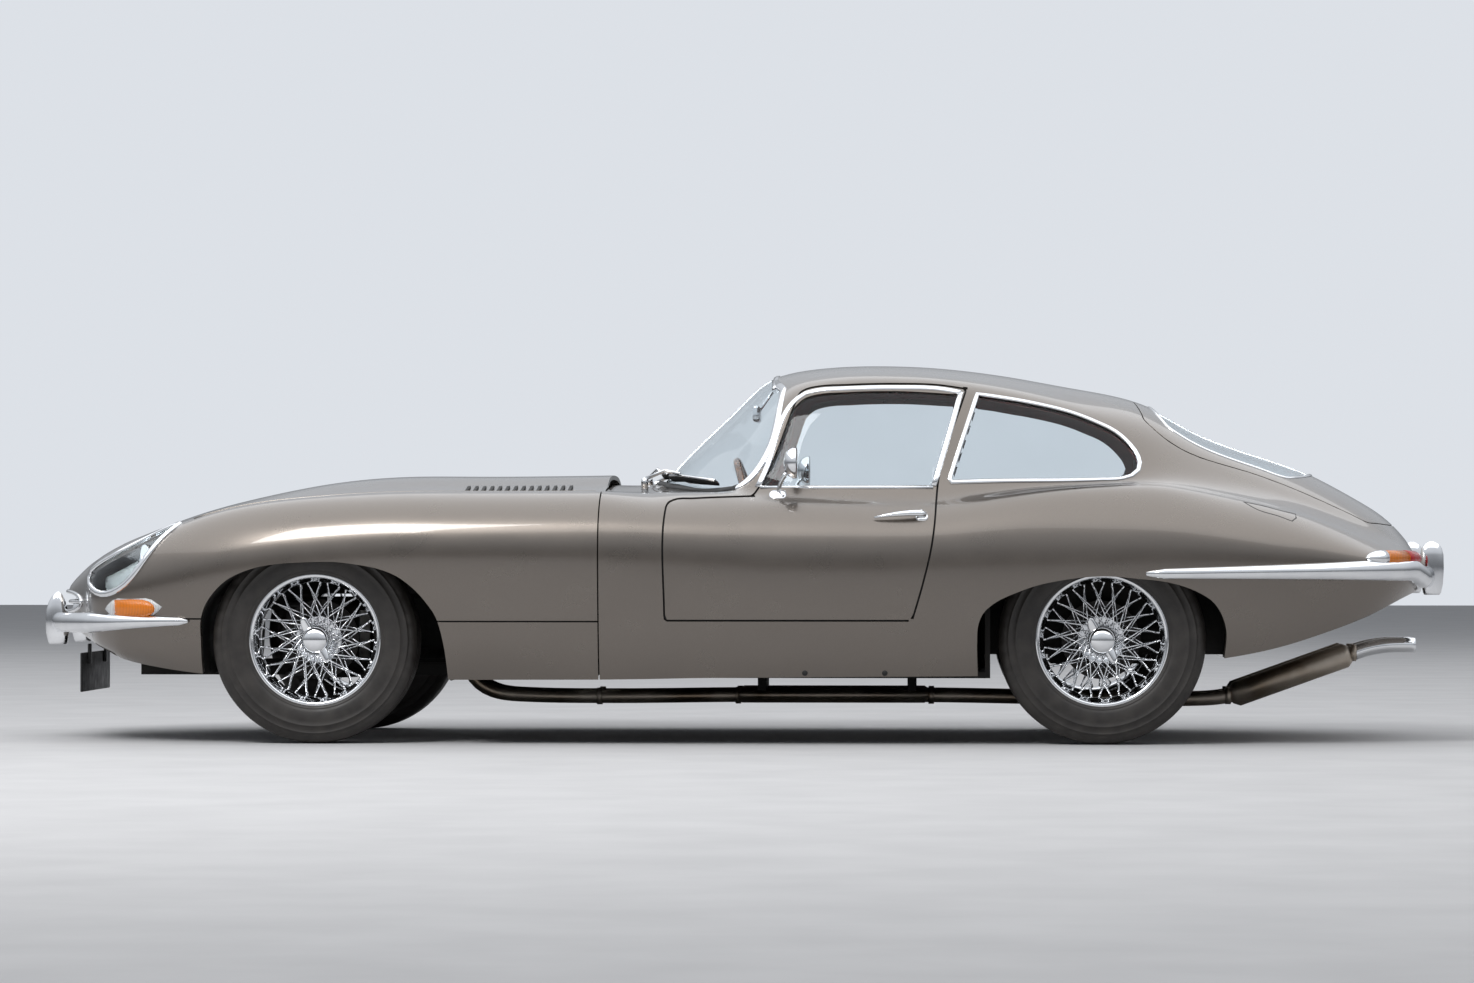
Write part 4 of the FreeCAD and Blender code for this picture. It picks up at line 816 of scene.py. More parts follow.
def above_seam(points):
    """Return how far front points lie above the bonnet's lower edge, in millimetres."""
    seam = np.where(points[:, 0] > VALANCE_X, VALANCE_SEAM_Z, SILL_SEAM_Z)
    return points[:, 2] / MM - seam


front, _ = skin_grid(front_skin, lambda x: x > NOSE_X)
face_outwards(welded(front))
cut_along(front, lambda p: reach_inside("front_arch", p), [0.0])
cut_along(front, lambda p: reach_inside("headlamp", p), [0.0])
cut_along(front, mouth_reach, [0.0])
cut_along(front, above_seam, [-SHUT_GAP, SHUT_GAP])


def open_front(points):
    """Tell which front faces are cut away altogether."""
    return (reach_inside("front_arch", points) > 0) | (mouth_reach(points) > 0)


def is_bonnet(points):
    """Tell which faces belong to the bonnet."""
    return ~open_front(points) & (above_seam(points) > SHUT_GAP) & (reach_inside("headlamp", points) < 0)


def is_valance(points):
    """Tell which faces belong to the front valance."""
    return ~open_front(points) & (above_seam(points) < -SHUT_GAP) & (points[:, 0] > VALANCE_X)


def is_front_sill(points):
    """Tell which faces belong to the sill ahead of the doors."""
    return ~open_front(points) & (above_seam(points) < -SHUT_GAP) & (points[:, 0] < VALANCE_X)


bonnet = taken_out(front, is_bonnet)
valance = taken_out(front, is_valance)
front_sill = taken_out(front, is_front_sill)
lamp_glass = taken_out(front, lambda p: reach_inside("headlamp", p) > 0)
lamp_bucket = lamp_glass.copy()
front_seal = taken_out(front, lambda p: ~open_front(p) & (np.abs(above_seam(p)) < SHUT_GAP))
front.free()

rear, tail_ring = skin_grid(rear_skin, lambda x: x < TAIL_FLOOR_X)
close_end(rear, tail_ring[::-1], TAIL_MIDDLE_Z, TAIL_BULGE)
face_outwards(welded(rear))
for opening in ("rear_arch", "windscreen", "quarter_window", "door_window"):
    cut_along(rear, lambda p, opening=opening: reach_inside(opening, p), [0.0])
cut_along(rear, lambda p: reach_inside("door", p), [-DOOR_GAP, DOOR_GAP])
cut_along(rear, lambda p: reach_inside("tailgate", p), [-SHUT_GAP, SHUT_GAP])
cut_along(rear, lambda p: reach_inside("tailgate_glass", p), [0.0])


def is_shell(points):
    """Tell which faces belong to the fixed body."""
    glazed = (reach_inside("windscreen", points) > 0) | (reach_inside("quarter_window", points) > 0)
    return (~glazed & (reach_inside("rear_arch", points) < 0) & (reach_inside("door", points) < -DOOR_GAP)
            & (reach_inside("tailgate", points) < -SHUT_GAP))


def is_door(points):
    """Tell which faces belong to the door."""
    return (reach_inside("door", points) > DOOR_GAP) & (reach_inside("door_window", points) < 0)


DOOR_TRIM_TOP = 0.775


def within(points, x_range, z_range):
    """Tell which points lie between two x and two z, in metres."""
    x, z = points[:, 0], points[:, 2]
    return (x > x_range[0]) & (x < x_range[1]) & (z > z_range[0]) & (z < z_range[1])


def is_tailgate(points):
    """Tell which faces belong to the tailgate round its glass."""
    return (reach_inside("tailgate", points) > SHUT_GAP) & (reach_inside("tailgate_glass", points) < 0)


shell = merged(taken_out(rear, is_shell), front_sill)
door = taken_out(rear, is_door)
tailgate = taken_out(rear, is_tailgate)
panes = {
    opening: taken_out(rear, lambda p, opening=opening: reach_inside(opening, p) > 0)
    for opening in ("windscreen", "quarter_window", "door_window", "tailgate_glass")
}
door_seal = taken_out(rear, lambda p: np.abs(reach_inside("door", p)) < DOOR_GAP)
tailgate_seal = taken_out(rear, lambda p: np.abs(reach_inside("tailgate", p)) < SHUT_GAP)
headlining = taken_out(rear, lambda p: is_shell(p) & within(p, (-1.29, 0.0), (0.80, 2.0)))
quarter_trim = taken_out(rear, lambda p: (
    is_shell(p) & within(p, (-1.7, -0.60), (0.47, 0.83)) & (np.abs(p[:, 1]) > 0.3)))
door_trim = taken_out(rear, lambda p: is_door(p) & (p[:, 2] < DOOR_TRIM_TOP))
lid_trim = tailgate.copy()
rear.free()

walled("bonnet_skin", whole(bonnet), SKIN_WALL, paint, "bonnet_body", "bonnet")
walled("valance_skin", whole(valance), SKIN_WALL, paint, "bonnet_body", "front_valance")
walled("body_skin", whole(shell), SKIN_WALL, paint, "car_body", "sills", "scuttle", "cabin_shell")
walled("tailgate_skin", whole(tailgate), SKIN_WALL, paint, "tailgate_body", "tailgate")
for name, opening, body, node in (
    ("tailgate_pane", "tailgate_glass", "tailgate_body", "tailgate_glass"),
    ("windscreen_pane", "windscreen", "car_body", "windscreen"),
    ("quarter_panes", "quarter_window", "car_body", "quarter_windows"),
):
    walled(name, shifted_in(whole(panes[opening]), GLASS_DEPTH), GLASS_WALL, glass, body, node, edge=0)
walled("headlamp_glass", shifted_in(whole(lamp_glass), LAMP_GLASS_DEPTH), LAMP_GLASS_WALL, glass,
       "bonnet_body", "headlamp_covers", edge=0)
for name, seal in (("bonnet_seal", front_seal), ("tailgate_seal", tailgate_seal), ("door_seals", door_seal)):
    walled(name, shifted_in(whole(seal), SEAL_DEPTH), SEAL_WALL, rubber, "car_body", edge=0)
for side, word in LEFT_RIGHT:
    panel = door.copy() if side > 0 else mirrored(door)
    pane = panes["door_window"].copy() if side > 0 else mirrored(panes["door_window"])
    walled("door_skin_" + word, panel, SKIN_WALL, paint, "door_body_" + word, "door_" + word)
    walled("door_pane_" + word, shifted_in(pane, GLASS_DEPTH), GLASS_WALL, glass, "door_body_" + word,
           "door_glass_" + word, edge=0)
door.free()


# Shapes used all over the car
def circle(radius, count=16, squeeze=1.0):
    """Return a closed round profile; squeeze scales it in its second direction."""
    turns = [2 * math.pi * n / count for n in range(count)]
    return [(radius * math.cos(t), radius * squeeze * math.sin(t)) for t in turns]


def loft_rings(mesh, rings, loop=False, caps=True, wrap=True):
    """Join rings of vertices with faces; rings with one repeated vertex become poles."""
    pairs = list(zip(rings, rings[1:]))
    if loop:
        pairs.append((rings[-1], rings[0]))
    count = len(rings[0])
    for ring, following in pairs:
        for i in range(count if wrap else count - 1):
            k = (i + 1) % count
            corners = list(dict.fromkeys((ring[i], ring[k], following[k], following[i])))
            if len(corners) > 2:
                mesh.faces.new(corners)
    if caps and not loop:
        for ring in (rings[0], rings[-1]):
            if len(set(ring)) > 2:
                mesh.faces.new(ring)
    bmesh.ops.recalc_face_normals(mesh, faces=mesh.faces[:])
    return mesh


def lathe(profile, steps=64, loop=False):
    """Turn an outline of (across, radius) pairs in millimetres round the Y axis."""
    mesh = bmesh.new()
    rings = []
    for across, radius in [(a * MM, r * MM) for a, r in profile]:
        if radius == 0:
            rings.append([mesh.verts.new((0, across, 0))] * steps)
            continue
        turns = [2 * math.pi * n / steps for n in range(steps)]
        rings.append([mesh.verts.new((radius * math.cos(t), across, radius * math.sin(t))) for t in turns])
    return loft_rings(mesh, rings, loop=loop)


def sweep(points, profile, ups, scales=None, loop=False):
    """Carry a closed profile of (across, outwards) pairs along points."""
    mesh = bmesh.new()
    count = len(points)
    rings = []
    for i, here in enumerate(points):
        before = points[i - 1] if i or loop else here
        after = points[(i + 1) % count] if i + 1 < count or loop else here
        along = (after - before).normalized()
        up = ups[i] if isinstance(ups, (list, tuple)) else ups
        up = (up - along * up.dot(along)).normalized()
        side = along.cross(up)
        wide, high = scales[i] if scales else (1.0, 1.0)
        rings.append([mesh.verts.new(here + side * (a * wide) + up * (b * high)) for a, b in profile])
    return loft_rings(mesh, rings, loop=loop)


def smooth_path(points, step=0.02):
    """Pass a smooth line through points given in millimetres, in metres."""
    corners = [Vector(p) * MM for p in points]
    result = []
    for i in range(len(corners) - 1):
        here, after = corners[i], corners[i + 1]
        before = corners[max(i - 1, 0)]
        beyond = corners[min(i + 2, len(corners) - 1)]
        span = (after - here).length
        one = (after - before) / max((after - before).length, 1e-6) * span
        two = (beyond - here) / max((beyond - here).length, 1e-6) * span
        steps = max(1, int(span / step))
        result += [smooth_span(here, after, one, two, n / steps) for n in range(steps)]
    result.append(corners[-1])
    return result


def pipe(points, radius, sides=16, step=0.02, up=LEFTWARDS):
    """Return a round pipe along points in millimetres."""
    path = smooth_path(points, step)
    return sweep(path, circle(radius * MM, sides), up)


def placed(mesh, place=CENTRE, turn=Matrix()):
    """Turn and move a bmesh."""
    matrix = Matrix.Translation(Vector(place)) @ turn.to_4x4()
    bmesh.ops.transform(mesh, matrix=matrix, verts=mesh.verts[:])
    return mesh


def block(low, high, round_off=4.0, segments=2):
    """Return a box between two corners in millimetres with rounded edges."""
    mesh = bmesh.new()
    bmesh.ops.create_cube(mesh, size=1.0)
    low, high = Vector(low) * MM, Vector(high) * MM
    for v in mesh.verts:
        v.co = Vector([(low[i] + high[i]) / 2 + v.co[i] * (high[i] - low[i]) for i in range(3)])
    bmesh.ops.bevel(mesh, geom=mesh.edges[:], offset=round_off * MM, segments=segments, affect="EDGES",
                    profile=0.5)
    return mesh


def blister(outline, height, place=on_side, rings=5, sunk=3.0, lift=0.0):
    """Raise a domed pad on the left of the body inside an outline in millimetres."""
    mesh = bmesh.new()
    middle = [sum(p[i] for p in outline) / len(outline) for i in range(2)]
    shares = [(0.0, -sunk)] + [
        (1 - math.cos(math.pi / 2 * n / rings), lift + height * math.sin(math.pi / 2 * n / rings))
        for n in range(rings)]
    loops = []
    for inwards, high in shares:
        loop = []
        for a, b in outline:
            point, normal = place((a + (middle[0] - a) * inwards) * MM, (b + (middle[1] - b) * inwards) * MM)
            loop.append(mesh.verts.new(point + normal * (high * MM)))
        loops.append(loop)
    point, normal = place(middle[0] * MM, middle[1] * MM)
    loops.append([mesh.verts.new(point + normal * ((lift + height) * MM))] * len(outline))
    return loft_rings(mesh, loops)


def trim(outline, width, height, place=on_side, loop=False, lift=0.0):
    """Lay a rounded strip on the left of the body along an outline in millimetres."""
    found = [place(a * MM, b * MM) for a, b in outline]
    half = 0.5 * width * MM
    high = height * MM
    profile = [(-half, -3 * MM), (-half, 0.4 * high), (-0.6 * half, 0.85 * high), (0, high),
               (0.6 * half, 0.85 * high), (half, 0.4 * high), (half, -3 * MM)]
    points = [p + n * (lift * MM) for p, n in found]
    return sweep(points, profile, [n for p, n in found], loop=loop)


def stretch_oval(from_a, to_a, low, high, count=8):
    """Return a long outline with half-round ends."""
    radius = 0.5 * (high - low)
    middle = 0.5 * (high + low)
    first, last = sorted((from_a, to_a))
    outline = []
    for centre, start in ((last - radius, -90), (first + radius, 90)):
        for n in range(count + 1):
            turn = math.radians(start + 180 * n / count)
            outline.append((centre + radius * math.cos(turn), middle + radius * math.sin(turn)))
    return outline


# Repeats by geometry nodes
def repeating_tree():
    """Build the node tree that sets copies of a shape round the Y axis."""
    tree = bpy.data.node_groups.new("repeat_round_axle", "GeometryNodeTree")
    face = tree.interface
    face.new_socket("Shape", in_out="INPUT", socket_type="NodeSocketGeometry")
    face.new_socket("Count", in_out="INPUT", socket_type="NodeSocketInt")
    face.new_socket("Start", in_out="INPUT", socket_type="NodeSocketFloat")
    face.new_socket("Finish", in_out="INPUT", socket_type="NodeSocketMaterial")
    face.new_socket("Shape", in_out="OUTPUT", socket_type="NodeSocketGeometry")
    start = tree.nodes.new("NodeGroupInput")
    end = tree.nodes.new("NodeGroupOutput")
    points = tree.nodes.new("GeometryNodePoints")
    copies = tree.nodes.new("GeometryNodeInstanceOnPoints")
    index = tree.nodes.new("GeometryNodeInputIndex")
    share = tree.nodes.new("ShaderNodeMath")
    share.operation = "DIVIDE"
    turn = tree.nodes.new("ShaderNodeMath")
    turn.operation = "MULTIPLY_ADD"
    turn.inputs[1].default_value = 2 * math.pi
    angles = tree.nodes.new("ShaderNodeCombineXYZ")
    real = tree.nodes.new("GeometryNodeRealizeInstances")
    finish = tree.nodes.new("GeometryNodeSetMaterial")
    link = tree.links.new
    link(start.outputs["Count"], points.inputs["Count"])
    link(index.outputs["Index"], share.inputs[0])
    link(start.outputs["Count"], share.inputs[1])
    link(share.outputs["Value"], turn.inputs[0])
    link(start.outputs["Start"], turn.inputs[2])
    link(turn.outputs["Value"], angles.inputs["Y"])
    link(points.outputs["Points"], copies.inputs["Points"])
    link(start.outputs["Shape"], copies.inputs["Instance"])
    link(angles.outputs["Vector"], copies.inputs["Rotation"])
    link(copies.outputs["Instances"], real.inputs["Geometry"])
    link(real.outputs["Geometry"], finish.inputs["Geometry"])
    link(start.outputs["Finish"], finish.inputs["Material"])
    link(finish.outputs["Geometry"], end.inputs["Shape"])
    return tree


round_axle = repeating_tree()


def repeated(mesh, count, material, start=0.0):
    """Return a bmesh of copies of a shape set round the Y axis."""
    data = bpy.data.meshes.new("one_of_many")
    mesh.to_mesh(data)
    mesh.free()
    holder = bpy.data.objects.new("one_of_many", data)
    scene.collection.objects.link(holder)
    copies = holder.modifiers.new("copies", "NODES")
    copies.node_group = round_axle
    sockets = {item.name: item.identifier for item in round_axle.interface.items_tree
               if item.item_type == "SOCKET" and item.in_out == "INPUT"}
    copies[sockets["Count"]] = count
    copies[sockets["Start"]] = start
    copies[sockets["Finish"]] = material
    graph = bpy.context.evaluated_depsgraph_get()
    made = bpy.data.meshes.new_from_object(holder.evaluated_get(graph), depsgraph=graph)
    result = bmesh.new()
    result.from_mesh(made)
    bpy.data.meshes.remove(made)
    holder.modifiers.remove(copies)
    bpy.data.objects.remove(holder)
    bpy.data.meshes.remove(data)
    return result


# Wheels
HUB_HEIGHT = 322.0
AXLES = (("front", 1297.0), ("rear", -1141.0))
HALF_TRACK = 635.0
TYRE_RADIUS = 321.5
TREAD_STEPS = 168
TREAD_HALF_WIDTH = 54.0
TREAD_EDGE_RADIUS = 319.0
CROWN_DROP = 2.6
GROOVES = (38.0, 14.0, -14.0, -38.0)
GROOVE_DEPTH = 5.5
GROOVE_HALF_WIDTH = 3.4
GROOVE_FLOOR_HALF_WIDTH = 1.8
ZIGZAG = 2.2
NOTCH_DEPTH = 2.4


def tyre_mesh():
    """Return a radial tyre with zigzag grooves in its tread and notches in its shoulders."""
    sidewall = [
        (63.0, 196.0), (67.5, 203.0), (72.0, 207.0), (75.0, 212.0), (75.6, 213.5), (74.6, 215.0),
        (76.6, 217.0), (79.2, 225.0), (80.9, 238.0), (81.4, 252.0), (80.7, 264.0), (82.0, 266.0),
        (81.8, 268.0), (79.8, 269.5), (78.6, 278.0), (76.4, 287.0), (77.6, 288.5), (77.0, 290.5),
        (74.6, 292.0),
    ]
    shoulder = [(73.5, 298.0), (70.5, 305.0), (65.5, 311.5), (59.0, 316.2)]
    grooved = []
    for centre in GROOVES:
        grooved += [
            (centre + GROOVE_HALF_WIDTH, 0), (centre + GROOVE_FLOOR_HALF_WIDTH, -GROOVE_DEPTH),
            (centre - GROOVE_FLOOR_HALF_WIDTH, -GROOVE_DEPTH), (centre - GROOVE_HALF_WIDTH, 0),
        ]
    mesh = bmesh.new()
    rings = []
    for n in range(TREAD_STEPS):
        angle = 2 * math.pi * n / TREAD_STEPS
        zigzag = ZIGZAG if n % 4 < 2 else -ZIGZAG
        notch = NOTCH_DEPTH if n % 4 == 0 else 0.0
        side = sidewall + [(across - notch, radius - 0.5 * notch) for across, radius in shoulder]
        outline = side + [(TREAD_HALF_WIDTH, TREAD_EDGE_RADIUS)]
        for across, depth in grooved:
            place = across + zigzag
            crown = TYRE_RADIUS - CROWN_DROP * (place / TREAD_HALF_WIDTH) ** 2
            outline.append((place, crown + depth))
        outline.append((-TREAD_HALF_WIDTH, TREAD_EDGE_RADIUS))
        outline += [(-across, radius) for across, radius in reversed(side)]
        rings.append([
            mesh.verts.new((radius * MM * math.cos(angle), across * MM, radius * MM * math.sin(angle)))
            for across, radius in outline])
    return loft_rings(mesh, rings, loop=True)


def rim_mesh():
    """Return the chrome rim with its rolled flanges and drop centre."""
    outer = [
        (67.0, 207.0), (70.0, 205.5), (71.0, 202.0), (70.5, 197.5), (68.0, 194.0), (63.0, 192.0),
        (50.0, 188.5), (40.0, 182.0), (24.0, 179.0), (-24.0, 179.0), (-40.0, 184.0), (-58.0, 191.0),
        (-62.0, 197.5), (-66.0, 199.0), (-68.0, 200.5), (-68.0, 203.5), (-66.0, 205.0), (-60.0, 202.0),
        (-52.0, 196.0), (-38.0, 190.0), (-24.0, 186.0), (24.0, 186.0), (40.0, 190.0), (52.0, 196.0),
        (60.0, 202.0),
    ]
    return lathe(outer, steps=96, loop=True)


def hub_mesh():
    """Return the chrome hub shell with its spoke flanges."""
    profile = [
        (-60, 0), (-60, 50), (-50, 56), (-44, 70), (-40, 73), (-27, 73), (-24, 69), (-16, 46), (0, 37),
        (18, 37), (22, 44), (25, 47), (33, 48), (37, 47), (40, 42), (42, 33), (42, 0),
    ]
    return lathe(profile, steps=48)


# Rows of spokes: place across the wheel at hub and rim, hub radius, and lean round the hub in degrees
SPOKE_ROWS = (
    (35.0, -4.0, 46.0, 52.0),
    (24.0, -15.0, 45.0, -52.0),
    (-30.0, 14.0, 70.0, 40.0),
    (-38.0, 4.0, 70.0, -40.0),
)
SPOKES_IN_ROW = 18
SPOKE_ROW_SHIFT = math.radians(7.0)
SPOKE_RADIUS = 2.3
SPOKE_HUB_DEPTH = 3
NIPPLE_RADIUS = 3.1
NIPPLE_SHARE = 0.90
NIPPLE_SEAT_RADIUS = 181.0


def spoke_mesh(hub_place, rim_place, hub_radius, lean):
    """Return one wire spoke with its nipple at the rim."""
    turn = math.radians(lean)
    reach = hub_radius - SPOKE_HUB_DEPTH
    inner = Vector((reach * math.cos(turn), hub_place, reach * math.sin(turn))) * MM
    outer = Vector((NIPPLE_SEAT_RADIUS, rim_place, 0.0)) * MM
    nipple = inner.lerp(outer, NIPPLE_SHARE)
    wire = sweep([inner, nipple], circle(SPOKE_RADIUS * MM, 6), LEFTWARDS)
    cap = sweep([nipple, outer], circle(NIPPLE_RADIUS * MM, 6), LEFTWARDS)
    return merged(wire, cap)


EAR_TURNS = (52.0, 232.0)
EAR_STEPS = 8


def spinner_mesh():
    """Return the knock-off nut: a dome with two swept ears."""
    profile = [
        (38, 0), (38, 40), (44, 44), (52, 46), (60, 45), (68, 42), (76, 36), (82, 26), (85, 14), (86, 0),
    ]
    mesh = lathe(profile, steps=48)
    ears = []
    for start in EAR_TURNS:
        path, scales = [], []
        for n in range(EAR_STEPS + 1):
            share = n / EAR_STEPS
            reach = 26 + 54 * share
            turn = math.radians(start + 10 * share)
            path.append(Vector((reach * math.cos(turn), 60 + 12 * share - 4 * share ** 2,
                                reach * math.sin(turn))) * MM)
            scales.append((1.0 - 0.42 * share ** 2 if n < EAR_STEPS else 0.25, 1.0 - 0.35 * share))
        ears.append(sweep(path, circle(16 * MM, 14, squeeze=0.45), LEFTWARDS, scales))
    return merged(mesh, *ears)


def brake_disc_mesh():
    """Return the brake disc inside the wheel."""
    profile = [(-62, 0), (-62, 122), (-54, 122), (-54, 70), (-50, 68), (-50, 0)]
    return lathe(profile, steps=64)


def wheel_place(mesh, axle_x, side):
    """Set a shape drawn round the origin at one wheel, outer face outwards."""
    turn = Matrix() if side > 0 else Matrix.Rotation(math.pi, 4, "Z")
    return placed(mesh, (axle_x * MM, side * HALF_TRACK * MM, HUB_HEIGHT * MM), turn)


spokes = merged(*[
    repeated(spoke_mesh(*row), SPOKES_IN_ROW, chrome, SPOKE_ROW_SHIFT * (n % 2))
    for n, row in enumerate(SPOKE_ROWS)])
# Pieces of a wheel: name, shape, finish, the node that it stands for and whether its corners are crisp
WHEEL_PIECES = (
    ("tyre_skin", tyre_mesh(), tyre_rubber, "tyre", False),
    ("wire_spokes", spokes, chrome, None, False),
    ("rim", rim_mesh(), chrome, "wire_wheel", True),
    ("hub", hub_mesh(), chrome, None, True),
    ("spinner", spinner_mesh(), chrome, None, False),
    # The brake disc's near-black iron is partly painted shade inside the wheel
    ("brake_disc", brake_disc_mesh(), brake_iron_in_painted_shade, None, True),
)
for end, axle_x in AXLES:
    for side, word in LEFT_RIGHT:
        for label, shape, finish, node, crisp in WHEEL_PIECES:
            nodes = (f"{node}_{end}_{word}",) if node else ()
            piece = thing(f"{label}_{end}_{word}", wheel_place(shape.copy(), axle_x, side), finish,
                          f"wheel_{end}_{word}", *nodes)
            if crisp:
                edges = piece.modifiers.new("crisp", "EDGE_SPLIT")
                edges.split_angle = CREASE

# Bumpers and overriders
BLADE = [
    (-30, -4), (-31, 6), (-29, 17), (-23, 26), (-14, 32), (-4, 34), (4, 34), (14, 32), (23, 26), (29, 17),
    (31, 6), (30, -4),
]
REAR_BUMPER_X = (
    -1272, -1330, -1400, -1480, -1560, -1640, -1720, -1800, -1870, -1930, -1980, -2030, -2070, -2105,
)
REAR_BUMPER_Z = 527.0
REAR_BUMPER_RISE = 10.0
REAR_BUMPER_RISE_LENGTH = 700.0


def blade_along(path, scales):
    """Sweep a bumper blade along a path, bulging outwards."""
    outwards = []
    for i, here in enumerate(path):
        along = path[min(i + 1, len(path) - 1)] - path[max(i - 1, 0)]
        out = Vector((along.y, -along.x, 0.0)).normalized()
        if out.dot(Vector((here.x, here.y, 0.0))) < 0:
            out = -out
        outwards.append(out)
    return sweep(path, [(a * MM, b * MM) for a, b in BLADE], outwards, scales)


def rear_bumper():
    """Return the left rear bumper: a slim point on the wing that grows towards the tail."""
    places = []
    for x in REAR_BUMPER_X:
        point, _ = on_side(x * MM, 0.520)
        height = REAR_BUMPER_Z + REAR_BUMPER_RISE * ((REAR_BUMPER_X[0] - x) / REAR_BUMPER_RISE_LENGTH)
        places.append((point.x / MM, point.y / MM, height))
    places += [(-2140, 425, 517), (-2158, 375, 517), (-2166, 310, 517)]
    path = smooth_path(places, step=0.03)
    start = path[0].x
    scales = []
    for here in path:
        share = min(1.0, (start - here.x) / 0.85)
        scales.append((0.48 + 0.66 * share, 0.30 + 0.70 * min(1.0, 1.6 * share)))
    scales[0] = (0.22, 0.08)
    return blade_along(path, scales)


def front_bumper():
    """Return the left front bumper, from its point on the wing to the air intake."""
    places = [(1690, 728, 379), (1745, 710, 379), (1800, 688, 378), (1850, 669, 377), (1895, 648, 376),
              (1960, 601, 374), (2024, 530, 373), (2075, 452, 372), (2125, 362, 371), (2163, 272, 371),
              (2180, 190, 371)]
    path = smooth_path(places, step=0.025)
    scales = []
    for here in path:
        share = min(1.0, (here.x - path[0].x) / 0.33)
        scales.append((0.36 + 0.66 * share, 0.24 + 0.70 * min(1.0, 1.5 * share)))
    scales[0] = (0.16, 0.08)
    return blade_along(path, scales)


# Overriders: share of the height, reach of the back and of the face, half width, in millimetres
FRONT_OVERRIDER = [
    (0.0, 8, 62, 19), (0.04, 5, 67, 21), (0.2, 1, 74, 22), (0.45, 0, 76, 23), (0.65, 5, 74, 22),
    (0.8, 12, 66, 20), (0.9, 19, 57, 16), (0.96, 25, 48, 11), (1.0, 31, 39, 4),
]
REAR_OVERRIDER = [
    (0.0, 22, 70, 18), (0.04, 18, 75, 20), (0.2, 14, 81, 22), (0.5, 10, 84, 23), (0.75, 10, 83, 23),
    (0.87, 14, 78, 21), (0.95, 23, 69, 16), (1.0, 36, 55, 6),
]
OVERRIDER_SIDES = 28


def overrider(base_x, outward, y, low, high, stations):
    """Return an upright overrider whose face bows away from the car, given in millimetres."""
    mesh = bmesh.new()
    rings = []
    for share, back, face, half_width in stations:
        middle, half_depth = 0.5 * (face + back), 0.5 * (face - back)
        ring = []
        for n in range(OVERRIDER_SIDES):
            turn = 2 * math.pi * n / OVERRIDER_SIDES
            depth = math.copysign(abs(math.cos(turn)) ** 0.8, math.cos(turn))
            across = math.copysign(abs(math.sin(turn)) ** 0.8, math.sin(turn))
            ring.append(mesh.verts.new(Vector((base_x + outward * (middle + half_depth * depth),
                                               y + half_width * across, low + (high - low) * share)) * MM))
        rings.append(ring)
    return loft_rings(mesh, rings)


rear_pieces = merged(rear_bumper(), overrider(-2142, -1, 330, 460, 628, REAR_OVERRIDER))
thing("rear_bumper_blades", on_both_sides(rear_pieces), chrome, "car_body", "rear_bumpers")
front_pieces = merged(front_bumper(), overrider(2148, 1, 235, 300, 468, FRONT_OVERRIDER))
thing("front_bumper_blades", on_both_sides(front_pieces), chrome, "bonnet_body", "front_bumpers")


# Lamps
def on_lamp_edge(x, z):
    """Return the body point and normal on the headlamp's edge, in metres."""
    point, normal = on_side(x, z)
    inner_y = lamp_inner_y(x / MM) * MM
    return on_top(x, inner_y) if point.y < inner_y else (point, normal)


lamp_ring = OUTLINES["headlamp"][1][::2]
lamp_rim = trim(lamp_ring, 20, 8, place=on_lamp_edge, loop=True, lift=1.0)
thing("headlamp_rims", on_both_sides(lamp_rim), chrome, "bonnet_body")
LAMP_BUCKET_DEPTH = 50 * MM
BOWL_AT = Vector((1835.0, 560.0, 538.0)) * MM
BOWL_TURN = Matrix.Rotation(math.radians(-90), 4, "Z")


def lamp_unit(profile):
    """Return one round lamp part facing forwards on the left."""
    return placed(lathe(profile, steps=48), BOWL_AT, BOWL_TURN)


thing("lamp_bowls", on_both_sides(lamp_unit([
    (-30, 0), (-30, 40), (-20, 62), (0, 78), (12, 82), (20, 82), (22, 78), (16, 74), (0, 68), (-16, 48),
    (-22, 0)])), chrome, "bonnet_body", "headlamps")
thing("lamp_lenses", on_both_sides(lamp_unit([
    (15, 74), (18, 73), (26, 60), (32, 40), (35, 20), (36, 0)])), clear_lens, "bonnet_body")
# The buckets' pale silver is partly a painted reflection of the sky in the headlamp covers
thing("lamp_buckets", shifted_in(whole(lamp_bucket), LAMP_BUCKET_DEPTH), lamp_bucket_silver_painted_sky, "bonnet_body")

# Side lamps in side view, x and z in millimetres: base, amber lens and clear end
SIDE_LAMP = [
    (1972, 417), (1961, 431), (1945, 444), (1925, 450), (1830, 451), (1808, 446), (1790, 434), (1774, 424),
    (1790, 408), (1808, 396), (1830, 390), (1925, 389), (1945, 396), (1960, 406),
]
SIDE_LAMP_AMBER = [
    (1932, 446), (1880, 448), (1835, 447), (1815, 441), (1800, 430), (1796, 420), (1800, 408), (1815, 397),
    (1835, 392), (1880, 391), (1932, 392),
]
SIDE_LAMP_CLEAR = [
    (1966, 417), (1957, 430), (1944, 440), (1931, 445), (1929, 419), (1931, 393), (1944, 398), (1957, 407),
]
side_lamp_base = blister(SIDE_LAMP, 9, rings=3)
side_lamp_lens = blister(SIDE_LAMP_AMBER, 20, rings=6, lift=4.0)
side_lamp_end = blister(SIDE_LAMP_CLEAR, 14, rings=4, lift=3.0)
thing("side_lamp_bases", on_both_sides(side_lamp_base), clear_lens, "bonnet_body", "side_lamps")
thing("side_lamp_lenses", on_both_sides(side_lamp_lens), amber, "bonnet_body")
thing("side_lamp_ends", on_both_sides(side_lamp_end), clear_lens, "bonnet_body")

